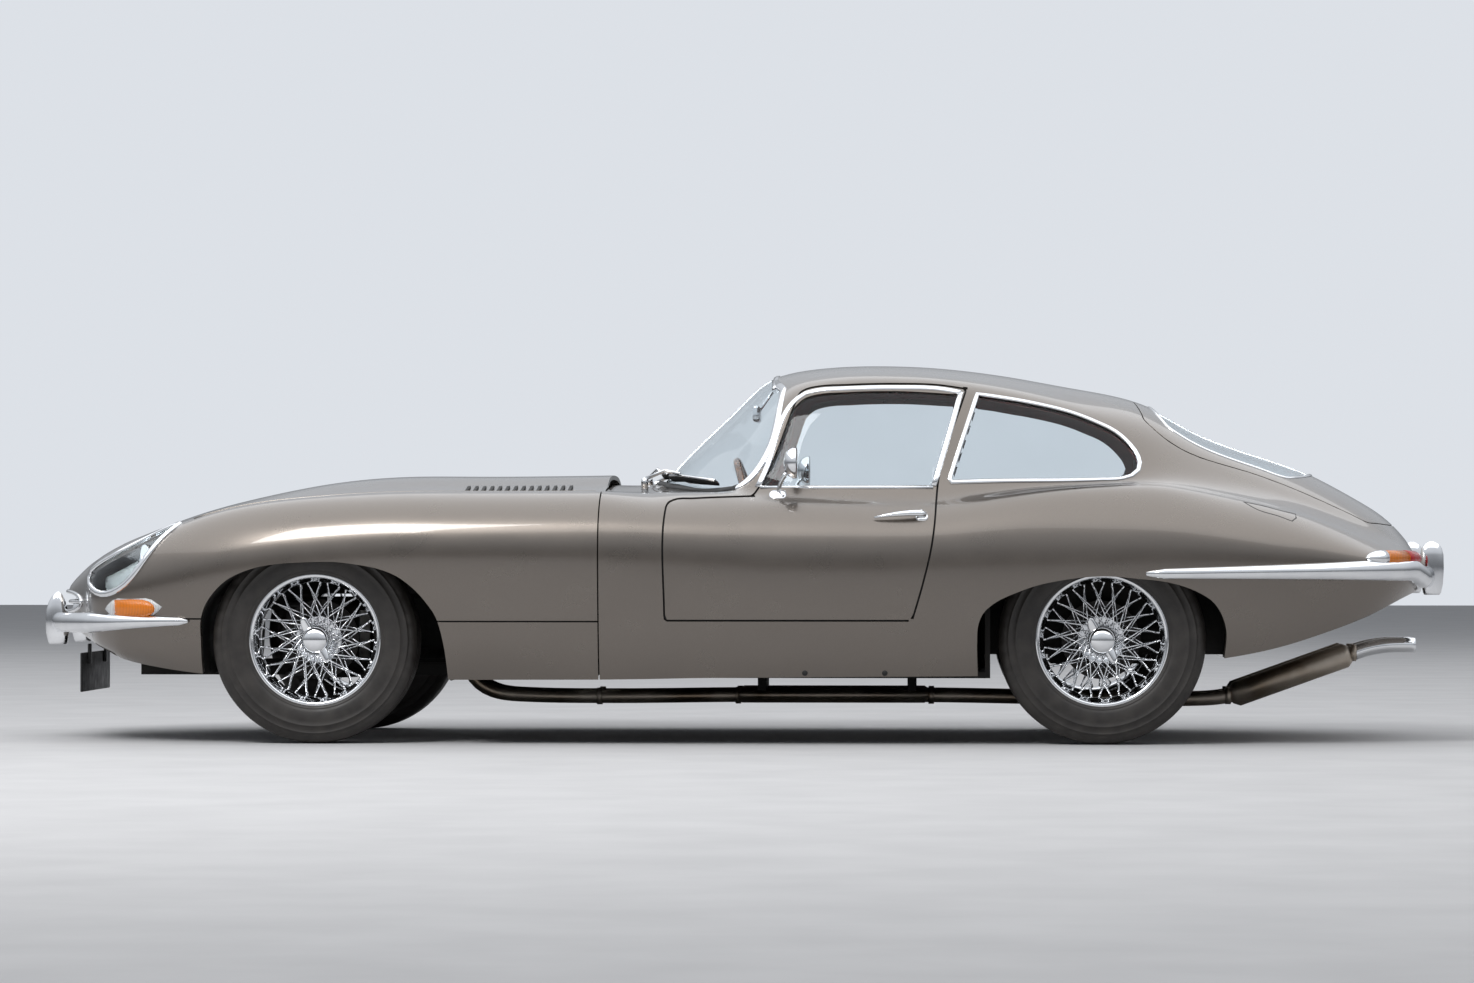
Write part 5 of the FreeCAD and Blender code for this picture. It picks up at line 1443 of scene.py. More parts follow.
# Tail lamps: half height and half depth in millimetres, heights of foot and middle in metres
TAIL_LAMP_HALF_HEIGHT = 26.0
TAIL_LAMP_HALF_DEPTH = 30.0
TAIL_LAMP_FOOT_Z = 0.548
TAIL_LAMP_Z = 0.575
# Lengths of a tail lamp: piece, finish, node, from x, to x, and share of the length with the size there
TAIL_LAMP_LENGTHS = (
    ("tail_lamp_bases", chrome, ("tail_lamps",), -1958, -2016,
     ((0, 0.04), (0.08, 0.32), (0.25, 0.62), (0.5, 0.85), (0.75, 0.97), (1, 1.0))),
    ("tail_lamp_amber", amber, (), -2010, -2084, ((0, 0.94), (0.05, 0.97), (0.5, 0.98), (1, 0.96))),
    ("tail_lamp_red", red, (), -2082, -2133, ((0, 0.97), (0.3, 0.97), (0.7, 0.92), (0.9, 0.78), (1, 0.5))),
)


def tail_lamp(from_x, to_x, shares):
    """Return one length of the left tail lamp, standing on the wing above the bumper."""
    path, outwards, scales = [], [], []
    for along, size in shares:
        x = from_x + (to_x - from_x) * along
        foot, normal = on_side(x * MM, TAIL_LAMP_FOOT_Z)
        outward = Vector((normal.x, normal.y, 0.0)).normalized()
        path.append(Vector((foot.x, foot.y, TAIL_LAMP_Z)) - outward * (4 * MM))
        outwards.append(outward)
        scales.append((size, size))
    profile = [(a * TAIL_LAMP_HALF_HEIGHT * MM, b * TAIL_LAMP_HALF_DEPTH * MM) for a, b in circle(1.0, 24)]
    return sweep(path, profile, outwards, scales)


for name, finish, nodes, from_x, to_x, shares in TAIL_LAMP_LENGTHS:
    thing(name, on_both_sides(tail_lamp(from_x, to_x, shares)), finish, "car_body", *nodes)


# Air intake
def nose_point(y, z):
    """Return the point of the nose at y and z in millimetres."""
    ahead, behind = FRONT_SECTIONS[0][0] * MM, NOSE_X
    for _ in range(16):
        x = 0.5 * (ahead + behind)
        _, points = front_skin.section(x)
        outline = [(p[1], p[2]) for p in points] + [(0.0, points[0][2])]
        if inside_distance(np.array([[abs(y) * MM, z * MM]]), outline)[0] > 0:
            behind = x
        else:
            ahead = x
    return Vector((behind, y * MM, z * MM))


def mouth_outline(count=56):
    """Return points round the air intake's edge."""
    tall = 0.5 * (MOUTH_HIGH_Z - MOUTH_LOW_Z)
    middle = 0.5 * (MOUTH_HIGH_Z + MOUTH_LOW_Z)
    edge = []
    for n in range(count):
        turn = 2 * math.pi * (n + 0.5) / count
        across = math.copysign(abs(math.cos(turn)) ** (2 / 3), math.cos(turn))
        edge.append(nose_point(MOUTH_HALF_WIDTH * across, middle + tall * math.sin(turn)))
    return edge


mouth_edge = mouth_outline()
thing("mouth_lip", sweep(mouth_edge, circle(6.5 * MM, 10), FORWARDS, loop=True), chrome, "bonnet_body")
MOUTH_MIDDLE_Z = 0.435
DUCT_FRONT_X = 2.15
duct = bmesh.new()
duct_rings = []
for back, narrow in ((0.0, 1.0), (0.04, 0.98), (0.11, 0.92)):
    duct_rings.append([
        duct.verts.new((min(p.x, DUCT_FRONT_X) - back, p.y * narrow,
                        MOUTH_MIDDLE_Z + (p.z - MOUTH_MIDDLE_Z) * narrow))
        for p in mouth_edge])
loft_rings(duct, duct_rings, caps=False)
duct.faces.new(duct_rings[-1])
thing("mouth_duct", duct, rubber, "bonnet_body")
bar_path = [nose_point(y, 435.0) - FORWARDS * 0.016 for y in range(-250, 251, 25)]
thing("mouth_bar", sweep(bar_path, circle(7 * MM, 12, squeeze=1.3), FORWARDS), chrome, "bonnet_body",
      "grille_bar")


# Chrome round the windows, x and z in millimetres
SCREEN_EDGE = rounded([
    (262, 815), (185, 797), (52, 787), (-10, 796), (-55, 828), (-90, 875), (-143, 1065), (-148, 1105),
    (-117, 1136)], closed=False, step=18.0)
SCREEN_FOOT_FROM_X = -12
SCREEN_POST_TO_X = 25
DOOR_FRAME = rounded([
    (-76, 797), (-98, 846), (-199, 1077), (-222, 1092), (-250, 1099), (-353, 1106), (-509, 1109),
    (-640, 1105), (-706, 1094)], closed=False, step=20.0, sharp=70.0)
REAR_POST = rounded([(-706, 1094), (-690, 1032), (-623, 800)], closed=False, step=25.0)
DOOR_WAIST = [(-85, 795), (-250, 795), (-430, 795), (-620, 795)]
screen_foot = [p for p in SCREEN_EDGE if p[0] > SCREEN_FOOT_FROM_X]
screen_post = [p for p in SCREEN_EDGE if p[0] < SCREEN_POST_TO_X]
thing("screen_surround", on_both_sides(trim(screen_post, 24, 6)), chrome, "car_body")
thing("screen_foot_seal", on_both_sides(trim(screen_foot, 30, 7)), rubber, "car_body")
roof_edge = [on_top(-0.117, y * MM) for y in range(340, -1, -20)]
top_profile = [(a * MM, b * MM) for a, b in ((-8, -2), (-8, 3), (0, 5), (8, 3), (8, -2))]
screen_top = sweep([p for p, n in roof_edge], top_profile, [n for p, n in roof_edge])
thing("screen_top", on_both_sides(screen_top), chrome, "car_body")
quarter_ring = trim(OUTLINES["quarter_window"][1][::2], 15, 5, loop=True)
thing("quarter_surrounds", on_both_sides(quarter_ring), chrome, "car_body")

# Door handle: x, z and distance from the door in millimetres, and the bar's width as a share
HANDLE_STATIONS = (
    (-440, 695, 8, 0.30), (-470, 697, 14, 0.5), (-510, 699, 18, 0.75), (-550, 701, 19, 0.95),
    (-580, 703, 16, 1.05), (-598, 704, 8, 0.95),
)
MIRROR_AT = (-0.196, 0.712, 0.870)
MIRROR_TURN = Matrix.Rotation(math.radians(-90), 4, "Z")
MIRROR_SHELL = [(-2, 0), (-2, 44), (-4, 47), (0, 49), (8, 48.5), (20, 43), (30, 32), (36, 16), (38, 0)]
MIRROR_FACE = [(-4, 0), (-4, 43), (-1, 43), (-1, 0)]
DOOR_LINING_DEPTH = 34 * MM


def door_handle():
    """Return the left door handle: a bar that widens towards its push button, on its seat."""
    path, scales = [], []
    for x, z, lift, wide in HANDLE_STATIONS:
        point, normal = on_side(x * MM, z * MM)
        path.append(point + normal * (lift * MM))
        scales.append((wide, wide))
    bar = sweep(path, circle(11 * MM, 16, squeeze=0.85), on_side(-0.52, 0.70)[1], scales)
    seat = blister(stretch_oval(-566, -606, 690, 716), 7)
    button = blister(stretch_oval(-575, -593, 703, 720), 17, rings=4)
    return merged(bar, seat, button)


def door_mirror():
    """Return the left door mirror without its glass: foot, stem and domed head."""
    foot = blister(stretch_oval(-112, -168, 760, 786), 8)
    stem = pipe([(-140, 672, 778), (-148, 686, 806), (-166, 706, 838)], 6.5, 12, 0.01)
    return merged(foot, stem, placed(lathe(MIRROR_SHELL, 48), MIRROR_AT, MIRROR_TURN))


for side, word in LEFT_RIGHT:
    frame_chrome = merged(trim(DOOR_FRAME, 19, 4), trim(REAR_POST, 17, 4), trim(DOOR_WAIST, 12, 5))
    for label, mesh, finish, nodes in (
        ("door_chrome", frame_chrome, chrome, ()),
        ("door_handle", door_handle(), chrome, ()),
        ("mirror_shell", door_mirror(), chrome, ("door_mirror_" + word,)),
        ("mirror_face", placed(lathe(MIRROR_FACE, 40), MIRROR_AT, MIRROR_TURN), steel, ()),
        ("door_lining", shifted_in(door_trim.copy(), DOOR_LINING_DEPTH), leather, ()),
    ):
        mesh = mesh if side > 0 else mirrored(mesh)
        thing(f"{label}_{word}", mesh, finish, "door_body_" + word, *nodes)
door_trim.free()
lid_edge = [(a, b) for a, b in OUTLINES["tailgate_glass"][1] if b > -1][::2]


def on_lid(along, across):
    """Return the body point and normal under a place in the tailgate's plane, in metres."""
    top_x, top_z = TAILGATE_TOP
    down = (SLOPE_X / SLOPE_LENGTH, SLOPE_Z / SLOPE_LENGTH)
    x = top_x * MM + along * down[0]
    for _ in range(6):
        point, normal = on_top(x, across)
        reached = (point.x - top_x * MM) * down[0] + (point.z - top_z * MM) * down[1]
        x += (along - reached) * down[0]
    return on_top(x, across)


lid_edge.sort(key=lambda p: p[0])
thing("tailgate_chrome", on_both_sides(trim(lid_edge, 12, 4, place=on_lid)), chrome, "tailgate_body")

# Bonnet details
BEAD_Y = 605
bead = trim([(x, BEAD_Y) for x in range(430, 1701, 30)], 7, 2.5, place=on_top)
thing("bonnet_beads", on_both_sides(bead), paint, "bonnet_body")
LOUVRES = 14
LOUVRE_PITCH = 25.0
FIRST_LOUVRE_X = 857.0
# Behind each hood the louvre's open mouth is filled with a black block: painted shade
SLOT_BEHIND = -9.0
HOOD = [(-6, -3), (-6, 4), (-3, 8), (2, 7), (8, 1), (9, -3)]
SLOT = [(-5, -3), (-5, 6), (4, 7), (5, -3)]
hoods, shade_slots = [], []
for n in range(LOUVRES):
    x = FIRST_LOUVRE_X - LOUVRE_PITCH * n
    for shapes, profile, offset in ((hoods, HOOD, 0.0), (shade_slots, SLOT, SLOT_BEHIND)):
        found = [on_top((x + offset) * MM, y * MM) for y in range(372, 533, 20)]
        shapes.append(sweep([p for p, up in found], [(-a * MM, b * MM) for a, b in profile],
                            [up for p, up in found]))
thing("louvre_hoods", on_both_sides(merged(*hoods)), paint, "bonnet_body")
# Black blocks standing for the shade in the open louvres
thing("louvre_openings_painted_shade", on_both_sides(merged(*shade_slots)), rubber, "bonnet_body")
FUEL_FLAP = [
    (-1580, 750), (-1621, 726), (-1689, 705), (-1728, 690), (-1743, 700), (-1742, 713), (-1700, 722),
    (-1640, 738),
]
thing("fuel_flap_line", trim(rounded(FUEL_FLAP), 4, 0.6, loop=True), rubber, "car_body")
SILL_PLUG_Z = 222
plugs = [blister([(x + a, SILL_PLUG_Z + b) for a, b in circle(9, 12)], 3, rings=2) for x in (-226, -472)]
thing("sill_plugs", on_both_sides(merged(*plugs)), rubber, "car_body")


# Wipers and the inside mirror
def on_screen(x, y):
    """Return the point and normal of the screen or scuttle at x and y in millimetres, on either side."""
    point, normal = on_top(x * MM, abs(y) * MM)
    if y < 0:
        point.y, normal.y = -point.y, -normal.y
    return point, normal


def wiper(blade, spindle):
    """Return a wiper: blade along points on the glass, arm back to its spindle on the scuttle."""
    found = [on_screen(x, y) for x, y in blade]
    normals = [n for p, n in found]
    middle, lean = found[len(found) // 2]
    foot, up = on_screen(*spindle)
    holder = sweep([p + n * (26 * MM) for p, n in found], circle(4.5 * MM, 8), normals)
    edge = sweep([p + n * (13 * MM) for p, n in found], circle(5 * MM, 8, squeeze=2.4), normals)
    arm = sweep([foot + up * (24 * MM), foot.lerp(middle, 0.5) + up * (44 * MM), middle + lean * (32 * MM)],
                circle(6 * MM, 8), up)
    knob = sweep([foot - up * (2 * MM), foot + up * (24 * MM), foot + up * (30 * MM)],
                 circle(12 * MM, 16), FORWARDS, [(1.0, 1.0), (0.9, 0.9), (0.3, 0.3)])
    return merged(holder, arm, knob), edge


# Each wiper: places of the blade on the screen and of the spindle, x and y in millimetres
WIPERS = (
    ([(48, 505), (110, 425), (165, 335), (203, 255)], (296, 300)),
    ([(214, 215), (232, 120), (240, 30), (236, -60)], (300, -20)),
    ([(232, -110), (214, -200), (180, -300), (120, -400)], (296, -330)),
)
wiper_shapes = [wiper(blade, spindle) for blade, spindle in WIPERS]
thing("wiper_arms", merged(*[metal for metal, edge in wiper_shapes]), chrome, "car_body")
thing("wiper_blades", merged(*[edge for metal, edge in wiper_shapes]), rubber, "car_body")
mirror_head = block((-62, -95, 1014), (-38, 95, 1066), 9, 3)
mirror_stem = pipe([(-56, 0, 1050), (-100, 0, 1112)], 5, 12)
thing("inside_mirror", merged(mirror_head, mirror_stem), chrome, "car_body")

# Exhaust, x and z of its runs in millimetres
PIPE_Y = 75.0
PIPE_RADIUS = 22
PIPE_RUN = [
    (880, 260), (860, 190), (800, 148), (700, 134), (400, 130), (0, 134), (-600, 134), (-1100, 126),
    (-1480, 124), (-1600, 142), (-1900, 250), (-1965, 272),
]
# Flattened silencer and round resonator: run, radius and flattening
SILENCERS = (
    ([(10, 136), (-5, 136), (-590, 136), (-605, 136)], 26, 2.0),
    ([(-1570, 132), (-1590, 140), (-1935, 264), (-1955, 270)], 40, 1.0),
)
SILENCER_SIZES = [(0.6, 0.6), (1.0, 1.0), (1.0, 1.0), (0.6, 0.6)]
CLAMPS = ((455, 131), (8, 134), (-612, 134), (-1562, 134), (-1962, 272))
CLAMP_RADIUS = 27
CLAMP_HALF_LENGTH = 9
TIP_RADIUS = 24
TIP_RUN = [(-1962, 271), (-2010, 286), (-2060, 295), (-2100, 297), (-2160, 297)]
# Inside of the tip, from its mouth forwards: distance in metres and size
TIP_BORE = ((0.0, 0.93), (0.002, 0.9), (0.03, 0.88), (0.06, 0.86))
STRAP_X = (-70, -550)


def at_pipe(run):
    """Return points in millimetres over the left pipe for pairs of x and z."""
    return [(x, PIPE_Y, z) for x, z in run]


def exhaust_side():
    """Return the left run: pipe, silencer, resonator and clamps."""
    parts = [pipe(at_pipe(PIPE_RUN), PIPE_RADIUS)]
    for run, radius, squeeze in SILENCERS:
        ends = [Vector(p) * MM for p in at_pipe(run)]
        parts.append(sweep(ends, circle(radius * MM, 28, squeeze=squeeze), LEFTWARDS, SILENCER_SIZES))
    for x, z in CLAMPS:
        ends = at_pipe([(x + CLAMP_HALF_LENGTH, z), (x - CLAMP_HALF_LENGTH, z)])
        parts.append(sweep([Vector(p) * MM for p in ends], circle(CLAMP_RADIUS * MM, 24), LEFTWARDS))
    return merged(*parts)


def exhaust_tip():
    """Return the left chrome tip, open at its end."""
    outside = smooth_path(at_pipe(TIP_RUN), 0.01)
    bore = [outside[-1] + FORWARDS * back for back, size in TIP_BORE]
    sizes = [(1.0, 1.0)] * len(outside) + [(size, size) for back, size in TIP_BORE]
    return sweep(outside + bore, circle(TIP_RADIUS * MM, 32), LEFTWARDS, sizes)


thing("exhaust_system", on_both_sides(exhaust_side()), exhaust_steel, "car_body", "exhaust")
thing("exhaust_tips", on_both_sides(exhaust_tip()), chrome, "car_body")
straps = [block((x - 14, -118, 133), (x + 14, 118, 204), 2) for x in STRAP_X]
thing("exhaust_straps", merged(*straps), underbody, "car_body")

# Plates, blank
rear_plate = block((-2160, -260, 480), (-2152, 260, 590), 2.5)
thing("rear_plate_blank", rear_plate, black_trim, "car_body", "rear_plate")
plate_struts = [block((2092, y - 15, 235), (2101, y + 15, 300), 3) for y in (-150, 150)]
front_plate = merged(block((2100, -260, 147), (2108, 260, 272), 2.5), *plate_struts)
thing("front_plate_blank", front_plate, black_trim, "bonnet_body", "front_plate")


# Wheel arches, dark inside
LINER_FOOT_Z = 150
LINER_INSET = 16 * MM
LINER_END_SHARE = 0.80
LINER_WALL = 3 * MM


def arch_liner(outline, grow, inner_y, wall_low, end_lows):
    """Return the roof of a wheel arch and its inner wall, which reaches lower at both ends, on the left."""
    middle_x = 0.5 * (outline[0][0] + outline[-1][0])
    mesh = bmesh.new()
    rings = []
    inner = []
    for x, z in outline:
        if z < LINER_FOOT_Z:
            continue
        away = Vector((x - middle_x, z - HUB_HEIGHT)).normalized() * grow
        point, _ = on_side((x + away.x) * MM, (z + away.y) * MM)
        rings.append([mesh.verts.new(point - LEFTWARDS * LINER_INSET),
                      mesh.verts.new((point.x, inner_y * MM, point.z))])
        inner.append(rings[-1][1])
    loft_rings(mesh, rings, wrap=False, caps=False)
    half_length = 0.5 * abs(outline[0][0] - outline[-1][0])
    lows = []
    for v in inner:
        share = (v.co.x / MM - middle_x) / half_length
        lows.append(wall_low if abs(share) < LINER_END_SHARE else end_lows[0 if share > 0 else 1])
    feet = [mesh.verts.new((v.co.x, inner_y * MM, low * MM)) for v, low in zip(inner, lows)]
    for i in range(len(inner) - 1):
        if lows[i] == lows[i + 1] and min(inner[i].co.z, inner[i + 1].co.z) > (lows[i] + 1) * MM:
            mesh.faces.new((inner[i], inner[i + 1], feet[i + 1], feet[i]))
    bmesh.ops.delete(mesh, geom=[v for v in mesh.verts if not v.link_faces], context="VERTS")
    return mesh


for name, outline, inner_y, wall_low, end_lows, body in (
    ("front_arch_liners", OUTLINES["front_arch"][1], 345.0, 462.0, (462.0, 462.0), "bonnet_body"),
    ("rear_arch_liners", OUTLINES["rear_arch"][1], 540.0, 425.0, (232.0, 276.0), "car_body"),
):
    liner = thing(name, on_both_sides(arch_liner(outline, 6.0, inner_y, wall_low, end_lows)), underbody, body)
    wall = liner.modifiers.new("wall", "SOLIDIFY")
    wall.thickness = LINER_WALL

# Cabin: linings, bulkhead, carpets and dashboard
LINING_WALL = 3 * MM
for name, panel, depth, body in (
    ("roof_lining", headlining, 20 * MM, "car_body"),
    ("quarter_linings", quarter_trim, 24 * MM, "car_body"),
    ("tailgate_lining", lid_trim, 20 * MM, "tailgate_body"),
):
    walled(name, shifted_in(whole(panel), depth), LINING_WALL, lining, body, edge=0)


def section_plate(x, inset, thickness, low_z):
    """Return a plate across the body at x, kept inside the skin."""
    _, points = skin_at(x).section(x)
    half = [(max(p[1] - inset, 0.0), p[2] - inset) for p in points[::12] if p[2] - inset > low_z]
    half = [(half[0][0], low_z)] + half + [(0.0, points[-1][2] - inset)]
    mesh = bmesh.new()
    for place in (x, x - thickness):
        ring = [mesh.verts.new((place, y, z)) for y, z in half]
        ring += [mesh.verts.new((place, -y, z)) for y, z in reversed(half[:-1])]
        mesh.faces.new(ring)
    sides = list(mesh.faces)
    first, last = [list(f.verts) for f in sides]
    loft_rings(mesh, [first, last], caps=False)
    return mesh


bulkhead = section_plate(x=0.394, inset=0.018, thickness=0.014, low_z=0.228)
thing("bulkhead", bulkhead, underbody, "car_body")
floor_carpets = merged(
    block((-760, 150, 226), (340, 640, 234), 3), block((-760, -640, 226), (340, -150, 234), 3),
    block((-775, -138, 226), (375, 138, 400), 18), block((-1500, -510, 487), (-800, 510, 494), 3))
thing("carpets", floor_carpets, carpet, "car_body")
dash_roll = block((128, -560, 640), (372, 560, 712), 26, 4)
dash_panel = block((118, -545, 632), (150, 545, 700), 10, 3)
thing("dash_top", merged(dash_roll, dash_panel), black_trim, "car_body", "dashboard")
# Dials: y, z and radius of the face, in millimetres
DIALS = [(300, 672, 46), (420, 672, 46), (90, 680, 24), (30, 680, 24), (-30, 680, 24), (-90, 680, 24)]
DIAL_X = 0.118
DIAL_TICKS = 20
rims, faces, ticks = [], [], []
dial_turn = Matrix.Rotation(math.radians(90), 4, "Z")
for y, z, radius in DIALS:
    place = (DIAL_X, y * MM, z * MM)
    bezel = [(0, radius), (5, radius + 3), (8, radius + 1), (8, radius - 2), (3, radius - 3), (0, radius - 3)]
    rims.append(placed(lathe(bezel, 40, loop=True), place, dial_turn))
    disc = [(0, 0), (0, radius - 1), (3, radius - 1), (3, 0)]
    faces.append(placed(lathe(disc, 40), place, dial_turn))
    tick = block((radius - 9, 3, -0.8), (radius - 4, 3.8, 0.8), 0.2, 1)
    ticks.append(placed(repeated(tick, DIAL_TICKS, mark_white), place, dial_turn))
thing("dial_rims", merged(*rims), chrome, "car_body")
thing("dial_faces", merged(*faces), dial_face, "car_body")
thing("dial_marks", merged(*ticks), mark_white, "car_body")

# Steering wheel and column
COLUMN_RAKE = math.radians(72)
COLUMN_LENGTH = 0.24
COLUMN_GAP = 8.5 * MM
COLUMN_RADIUS = 18 * MM
WHEEL_RIM_RADIUS = 190
STEERING_AXIS = Vector((-math.sin(COLUMN_RAKE), 0.0, math.cos(COLUMN_RAKE)))
STEERING_AT = Vector((-60.0, 360.0, 700.0)) * MM
to_axis = LEFTWARDS.rotation_difference(STEERING_AXIS).to_matrix()
rim_profile = [(b, WHEEL_RIM_RADIUS + a) for a, b in circle(12.5, 14)]
thing("steering_rim", placed(lathe(rim_profile, 72, loop=True), STEERING_AT, to_axis), wood,
      "steering_wheel_body", "steering_wheel")
boss = lathe([(-8, 0), (-8, 28), (4, 31), (12, 31), (18, 26), (18, 0)], 40)
flat_spoke = sweep([Vector((26, 3, 0)) * MM, Vector((100, 2, 0)) * MM, Vector((182, 0, 0)) * MM],
                   circle(12 * MM, 12, squeeze=0.16), LEFTWARDS, [(1.15, 1), (0.9, 1), (1.1, 1)])
flat_spokes = repeated(flat_spoke, 3, alloy, math.radians(90))
thing("steering_spokes", placed(merged(boss, flat_spokes), STEERING_AT, to_axis), alloy,
      "steering_wheel_body")
column_top = STEERING_AT - STEERING_AXIS * COLUMN_GAP
column = sweep([column_top, column_top - STEERING_AXIS * COLUMN_LENGTH], circle(COLUMN_RADIUS, 20), LEFTWARDS)
thing("steering_column", column, black_trim, "car_body")

# Seats, blown up as cushions
SIMULATED_FRAMES = 20
CUSHION_PRESSURE = 4.0
CUSHION_CORNER = 32
GREATEST_SWELL = 22
FLUTE_PITCH = 62.0
FLUTE_DEPTH = 6.0
FLUTE_SOFTNESS = 7.0
FLUTED_HALF_WIDTH = 0.165
LEAST_FACING = 0.4


def stuffed(low, high, voxel=8 * MM):
    """Return the mesh of a cushion: a rounded box under inner pressure, held to a greatest swell."""
    data = bpy.data.meshes.new("cushion")
    start = block(low, high, CUSHION_CORNER, 4)
    start.to_mesh(data)
    start.free()
    holder = bpy.data.objects.new("cushion", data)
    scene.collection.objects.link(holder)
    remesh = holder.modifiers.new("remesh", "REMESH")
    remesh.mode = "VOXEL"
    remesh.voxel_size = voxel
    graph = bpy.context.evaluated_depsgraph_get()
    rest = bpy.data.meshes.new_from_object(holder.evaluated_get(graph), depsgraph=graph)
    holder.modifiers.remove(remesh)
    holder.data = rest
    bpy.data.meshes.remove(data)
    before = np.array([v.co for v in rest.vertices])
    cloth = holder.modifiers.new("cloth", "CLOTH")
    cloth.settings.use_pressure = True
    cloth.settings.uniform_pressure_force = CUSHION_PRESSURE
    cloth.settings.quality = 3
    cloth.settings.effector_weights.gravity = 0.0
    cloth.collision_settings.use_collision = False
    for number in range(1, SIMULATED_FRAMES + 1):
        scene.frame_set(number)
    graph = bpy.context.evaluated_depsgraph_get()
    swollen = holder.evaluated_get(graph).to_mesh()
    after = np.array([v.co for v in swollen.vertices])
    holder.evaluated_get(graph).to_mesh_clear()
    holder.modifiers.remove(cloth)
    scene.frame_set(1)
    moves = after - before
    lengths = np.maximum(np.linalg.norm(moves, axis=1), 1e-9)
    moves *= (np.minimum(lengths, GREATEST_SWELL * MM) / lengths)[:, None]
    for vertex, place in zip(rest.vertices, before + moves):
        vertex.co = place
    bpy.data.objects.remove(holder)
    return rest


def fluted(mesh, up_axis):
    """Press lengthwise seams into the face of a cushion that looks along up_axis."""
    normals = [v.normal[up_axis] for v in mesh.vertices]
    for vertex, facing in zip(mesh.vertices, normals):
        if facing > LEAST_FACING and abs(vertex.co.y) < FLUTED_HALF_WIDTH:
            from_seam = abs((vertex.co.y / MM / FLUTE_PITCH + 0.5) % 1.0 - 0.5) * FLUTE_PITCH
            groove = math.exp(-(from_seam / FLUTE_SOFTNESS) ** 2)
            vertex.co[up_axis] -= FLUTE_DEPTH * MM * groove * min(1.0, (facing - LEAST_FACING) * 2.5)


seat_cushion = stuffed((-235, -200, -60), (225, 200, 60))
fluted(seat_cushion, 2)
seat_back = stuffed((-40, -198, -215), (40, 198, 215))
fluted(seat_back, 0)
SEAT_Y = 0.360
BACK_TURN = Matrix.Rotation(math.radians(-16), 4, "Y")
for side, word in LEFT_RIGHT:
    seat_nodes = ("seats",) if side > 0 else ()
    for label, source, place, turn, nodes in (
        ("seat_cushion", seat_cushion, (-0.425, side * SEAT_Y, 0.318), Matrix(), seat_nodes),
        ("seat_back", seat_back, (-0.705, side * SEAT_Y, 0.585), BACK_TURN, ()),
    ):
        mesh = bmesh.new()
        mesh.from_mesh(source)
        piece = thing(f"{label}_{word}", placed(mesh, place, turn), leather, "car_body", *nodes)
        finer = piece.modifiers.new("finer", "SUBSURF")
        finer.levels = 1
        finer.render_levels = 1
bpy.data.meshes.remove(seat_cushion)
bpy.data.meshes.remove(seat_back)

# Engine
engine_parts = [
    block((500, -150, 285), (1160, 150, 520), 14), block((510, -125, 515), (1150, 125, 640), 10),
    block((1160, -90, 330), (1176, 90, 600), 6)]
thing("engine_block", merged(*engine_parts), underbody, "car_body", "engine")
cam_covers = [block((500, y - 44, 636), (1158, y + 44, 724), 26, 4) for y in (-78, 78)]
CARBURETTOR = [(-40, 0), (-40, 26), (-10, 30), (10, 34), (40, 34), (44, 0)]
carburettors = [placed(lathe(CARBURETTOR, 32), (x * MM, -0.165, 0.600)) for x in (610, 830, 1050)]
thing("cam_covers", merged(*cam_covers, *carburettors), alloy, "car_body")

# Pieces shown as built in the frame
CARRIED = {
    "floor_pan": underbody, "front_frame": underbody, "front_suspension": underbody,
    "rear_suspension": underbody, "knuckle_left": steel, "knuckle_right": steel,
}
for node, finish in CARRIED.items():
    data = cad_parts[node].data
    data.materials.clear()
    data.materials.append(finish)

# Floor, light and camera
FLOOR_SIZE = 40.0
EYE = Vector((-0.666, 16.0, 0.592))
AIM_YAW = 2.44
AIM_PITCH = 0.71
LENS = 120.9
SENSOR_WIDTH = 36.0
AMBIENT = 0.22
BACKGROUND = 0.80
SKY_COLOUR = (0.90, 0.94, 1.0, 1.0)
# Brightness of the sky that the body mirrors, from the horizon upwards
MIRRORED_SKY = [(0.0, (0.18,)), (0.05, (0.24,)), (0.25, (0.62,)), (0.6, (0.85,))]
# Lamps: name, place, size in metres and power in watts
LAMPS = (
    ("key_light", (3.0, 5.0, 6.0), 3.0, 240.0),
    ("top_light", (0.0, 0.0, 9.0), 24.0, 1350.0),
)
LAMP_TARGET = Vector((0.0, 0.0, 0.5))


def lay_floor():
    """Lay the pale floor."""
    mesh = bmesh.new()
    bmesh.ops.create_grid(mesh, x_segments=2, y_segments=2, size=FLOOR_SIZE)
    data = bpy.data.meshes.new("studio_floor")
    mesh.to_mesh(data)
    mesh.free()
    floor = bpy.data.objects.new("studio_floor", data)
    scene.collection.objects.link(floor)
    material, tree, shader = finish_base("pale_floor", "black")
    noise = noise_of(tree, 3.0, detail=5.0)
    colour = ramp_of(tree, noise.outputs["Fac"], [(0.3, (0.60, 0.60, 0.61)), (0.7, (0.66, 0.66, 0.67))])
    tree.links.new(colour, shader.inputs["Base Color"])
    set_values(shader, Roughness=0.85)
    data.materials.append(material)


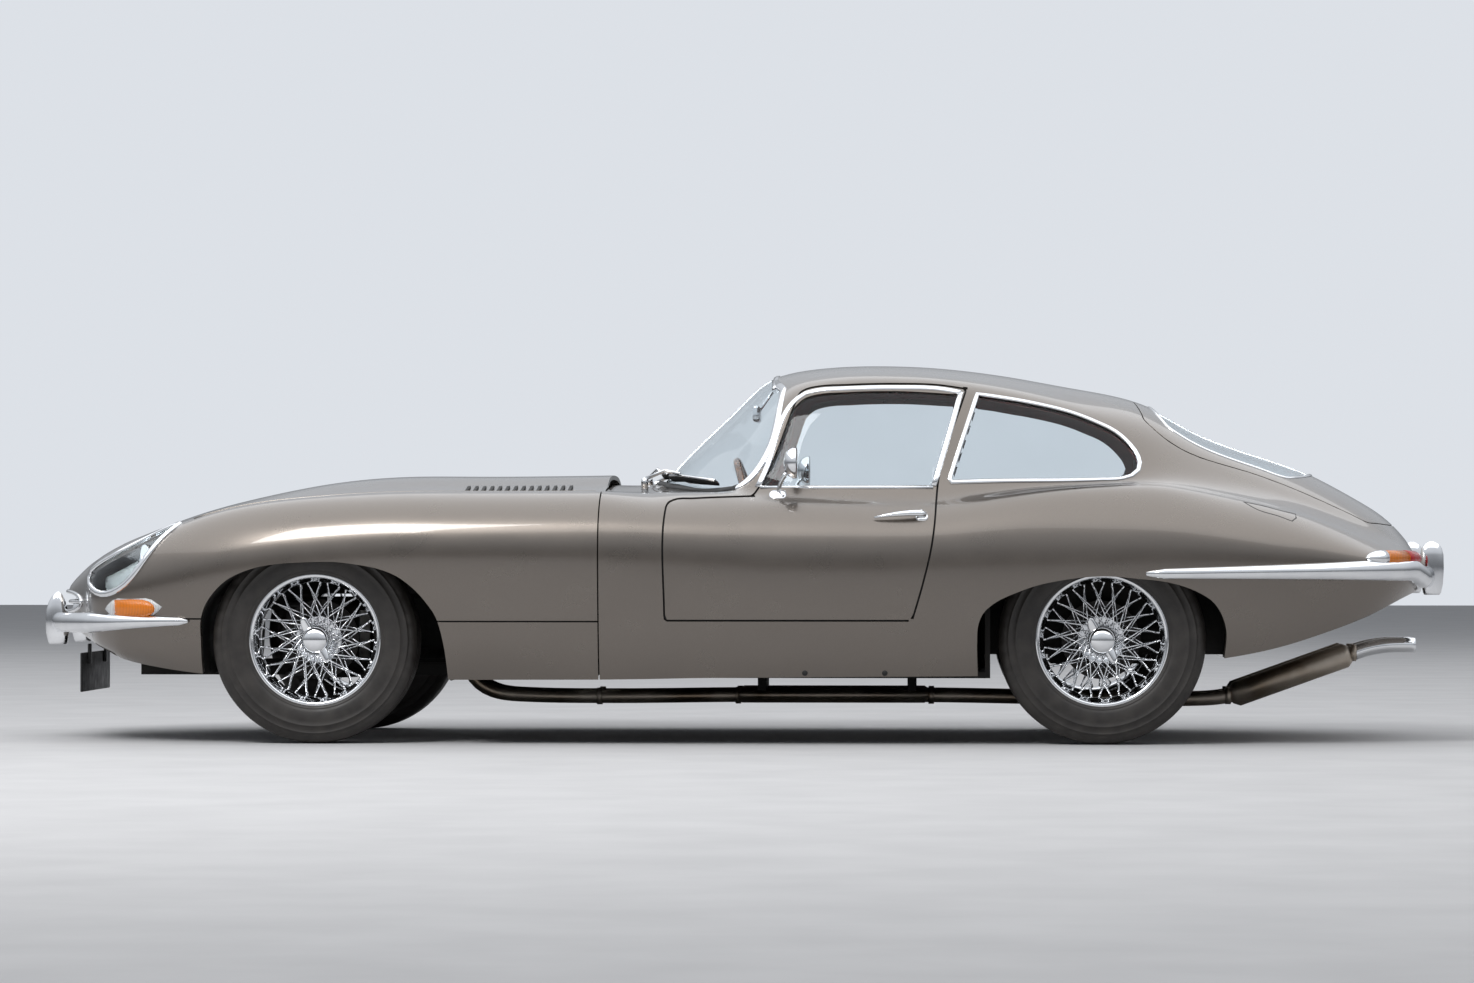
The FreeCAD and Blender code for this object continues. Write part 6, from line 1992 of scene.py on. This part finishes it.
def light_sky():
    """Give the sky one level for the view, one for soft light and a ramp for what the body mirrors."""
    world = bpy.data.worlds.new("studio_world")
    scene.world = world
    world.use_nodes = True
    tree = world.node_tree
    background = next(n for n in tree.nodes if n.type == "BACKGROUND")
    path = tree.nodes.new("ShaderNodeLightPath")
    seen = tree.nodes.new("ShaderNodeMath")
    seen.operation = "MAXIMUM"
    tree.links.new(path.outputs["Is Camera Ray"], seen.inputs[0])
    tree.links.new(path.outputs["Is Transmission Ray"], seen.inputs[1])
    plain = tree.nodes.new("ShaderNodeMapRange")
    plain.inputs["To Min"].default_value = AMBIENT
    plain.inputs["To Max"].default_value = BACKGROUND
    tree.links.new(seen.outputs["Value"], plain.inputs["Value"])
    direction = tree.nodes.new("ShaderNodeTexCoord")
    height = tree.nodes.new("ShaderNodeSeparateXYZ")
    tree.links.new(direction.outputs["Generated"], height.inputs["Vector"])
    mirrored_sky = ramp_of(tree, height.outputs["Z"], MIRRORED_SKY)
    strength = tree.nodes.new("ShaderNodeMix")
    reflected = tree.nodes.new("ShaderNodeMath")
    reflected.operation = "SUBTRACT"
    reflected.use_clamp = True
    tree.links.new(path.outputs["Is Glossy Ray"], reflected.inputs[0])
    tree.links.new(seen.outputs["Value"], reflected.inputs[1])
    tree.links.new(reflected.outputs["Value"], strength.inputs["Factor"])
    tree.links.new(plain.outputs["Result"], strength.inputs["A"])
    tree.links.new(mirrored_sky, strength.inputs["B"])
    tree.links.new(strength.outputs["Result"], background.inputs["Strength"])
    background.inputs["Color"].default_value = SKY_COLOUR


def hang_lamps():
    """Hang the two square lamps, turned to the car."""
    for name, place, size, power in LAMPS:
        lamp = bpy.data.lights.new(name, "AREA")
        lamp.shape = "SQUARE"
        lamp.size = size
        lamp.energy = power
        holder = bpy.data.objects.new(name, lamp)
        scene.collection.objects.link(holder)
        holder.location = place
        aim = LAMP_TARGET - Vector(place)
        holder.rotation_euler = aim.to_track_quat("-Z", "Y").to_euler()


def set_camera():
    """Set the camera where the photograph was taken, on the car's left."""
    camera_data = bpy.data.cameras.new("camera")
    camera_data.lens = LENS
    camera_data.sensor_width = SENSOR_WIDTH
    camera_data.clip_end = 200.0
    camera = bpy.data.objects.new("camera", camera_data)
    scene.collection.objects.link(camera)
    camera.location = EYE
    camera.rotation_euler = (math.radians(90 + AIM_PITCH), 0.0, math.radians(180 + AIM_YAW))
    scene.camera = camera


lay_floor()
light_sky()
hang_lamps()
set_camera()
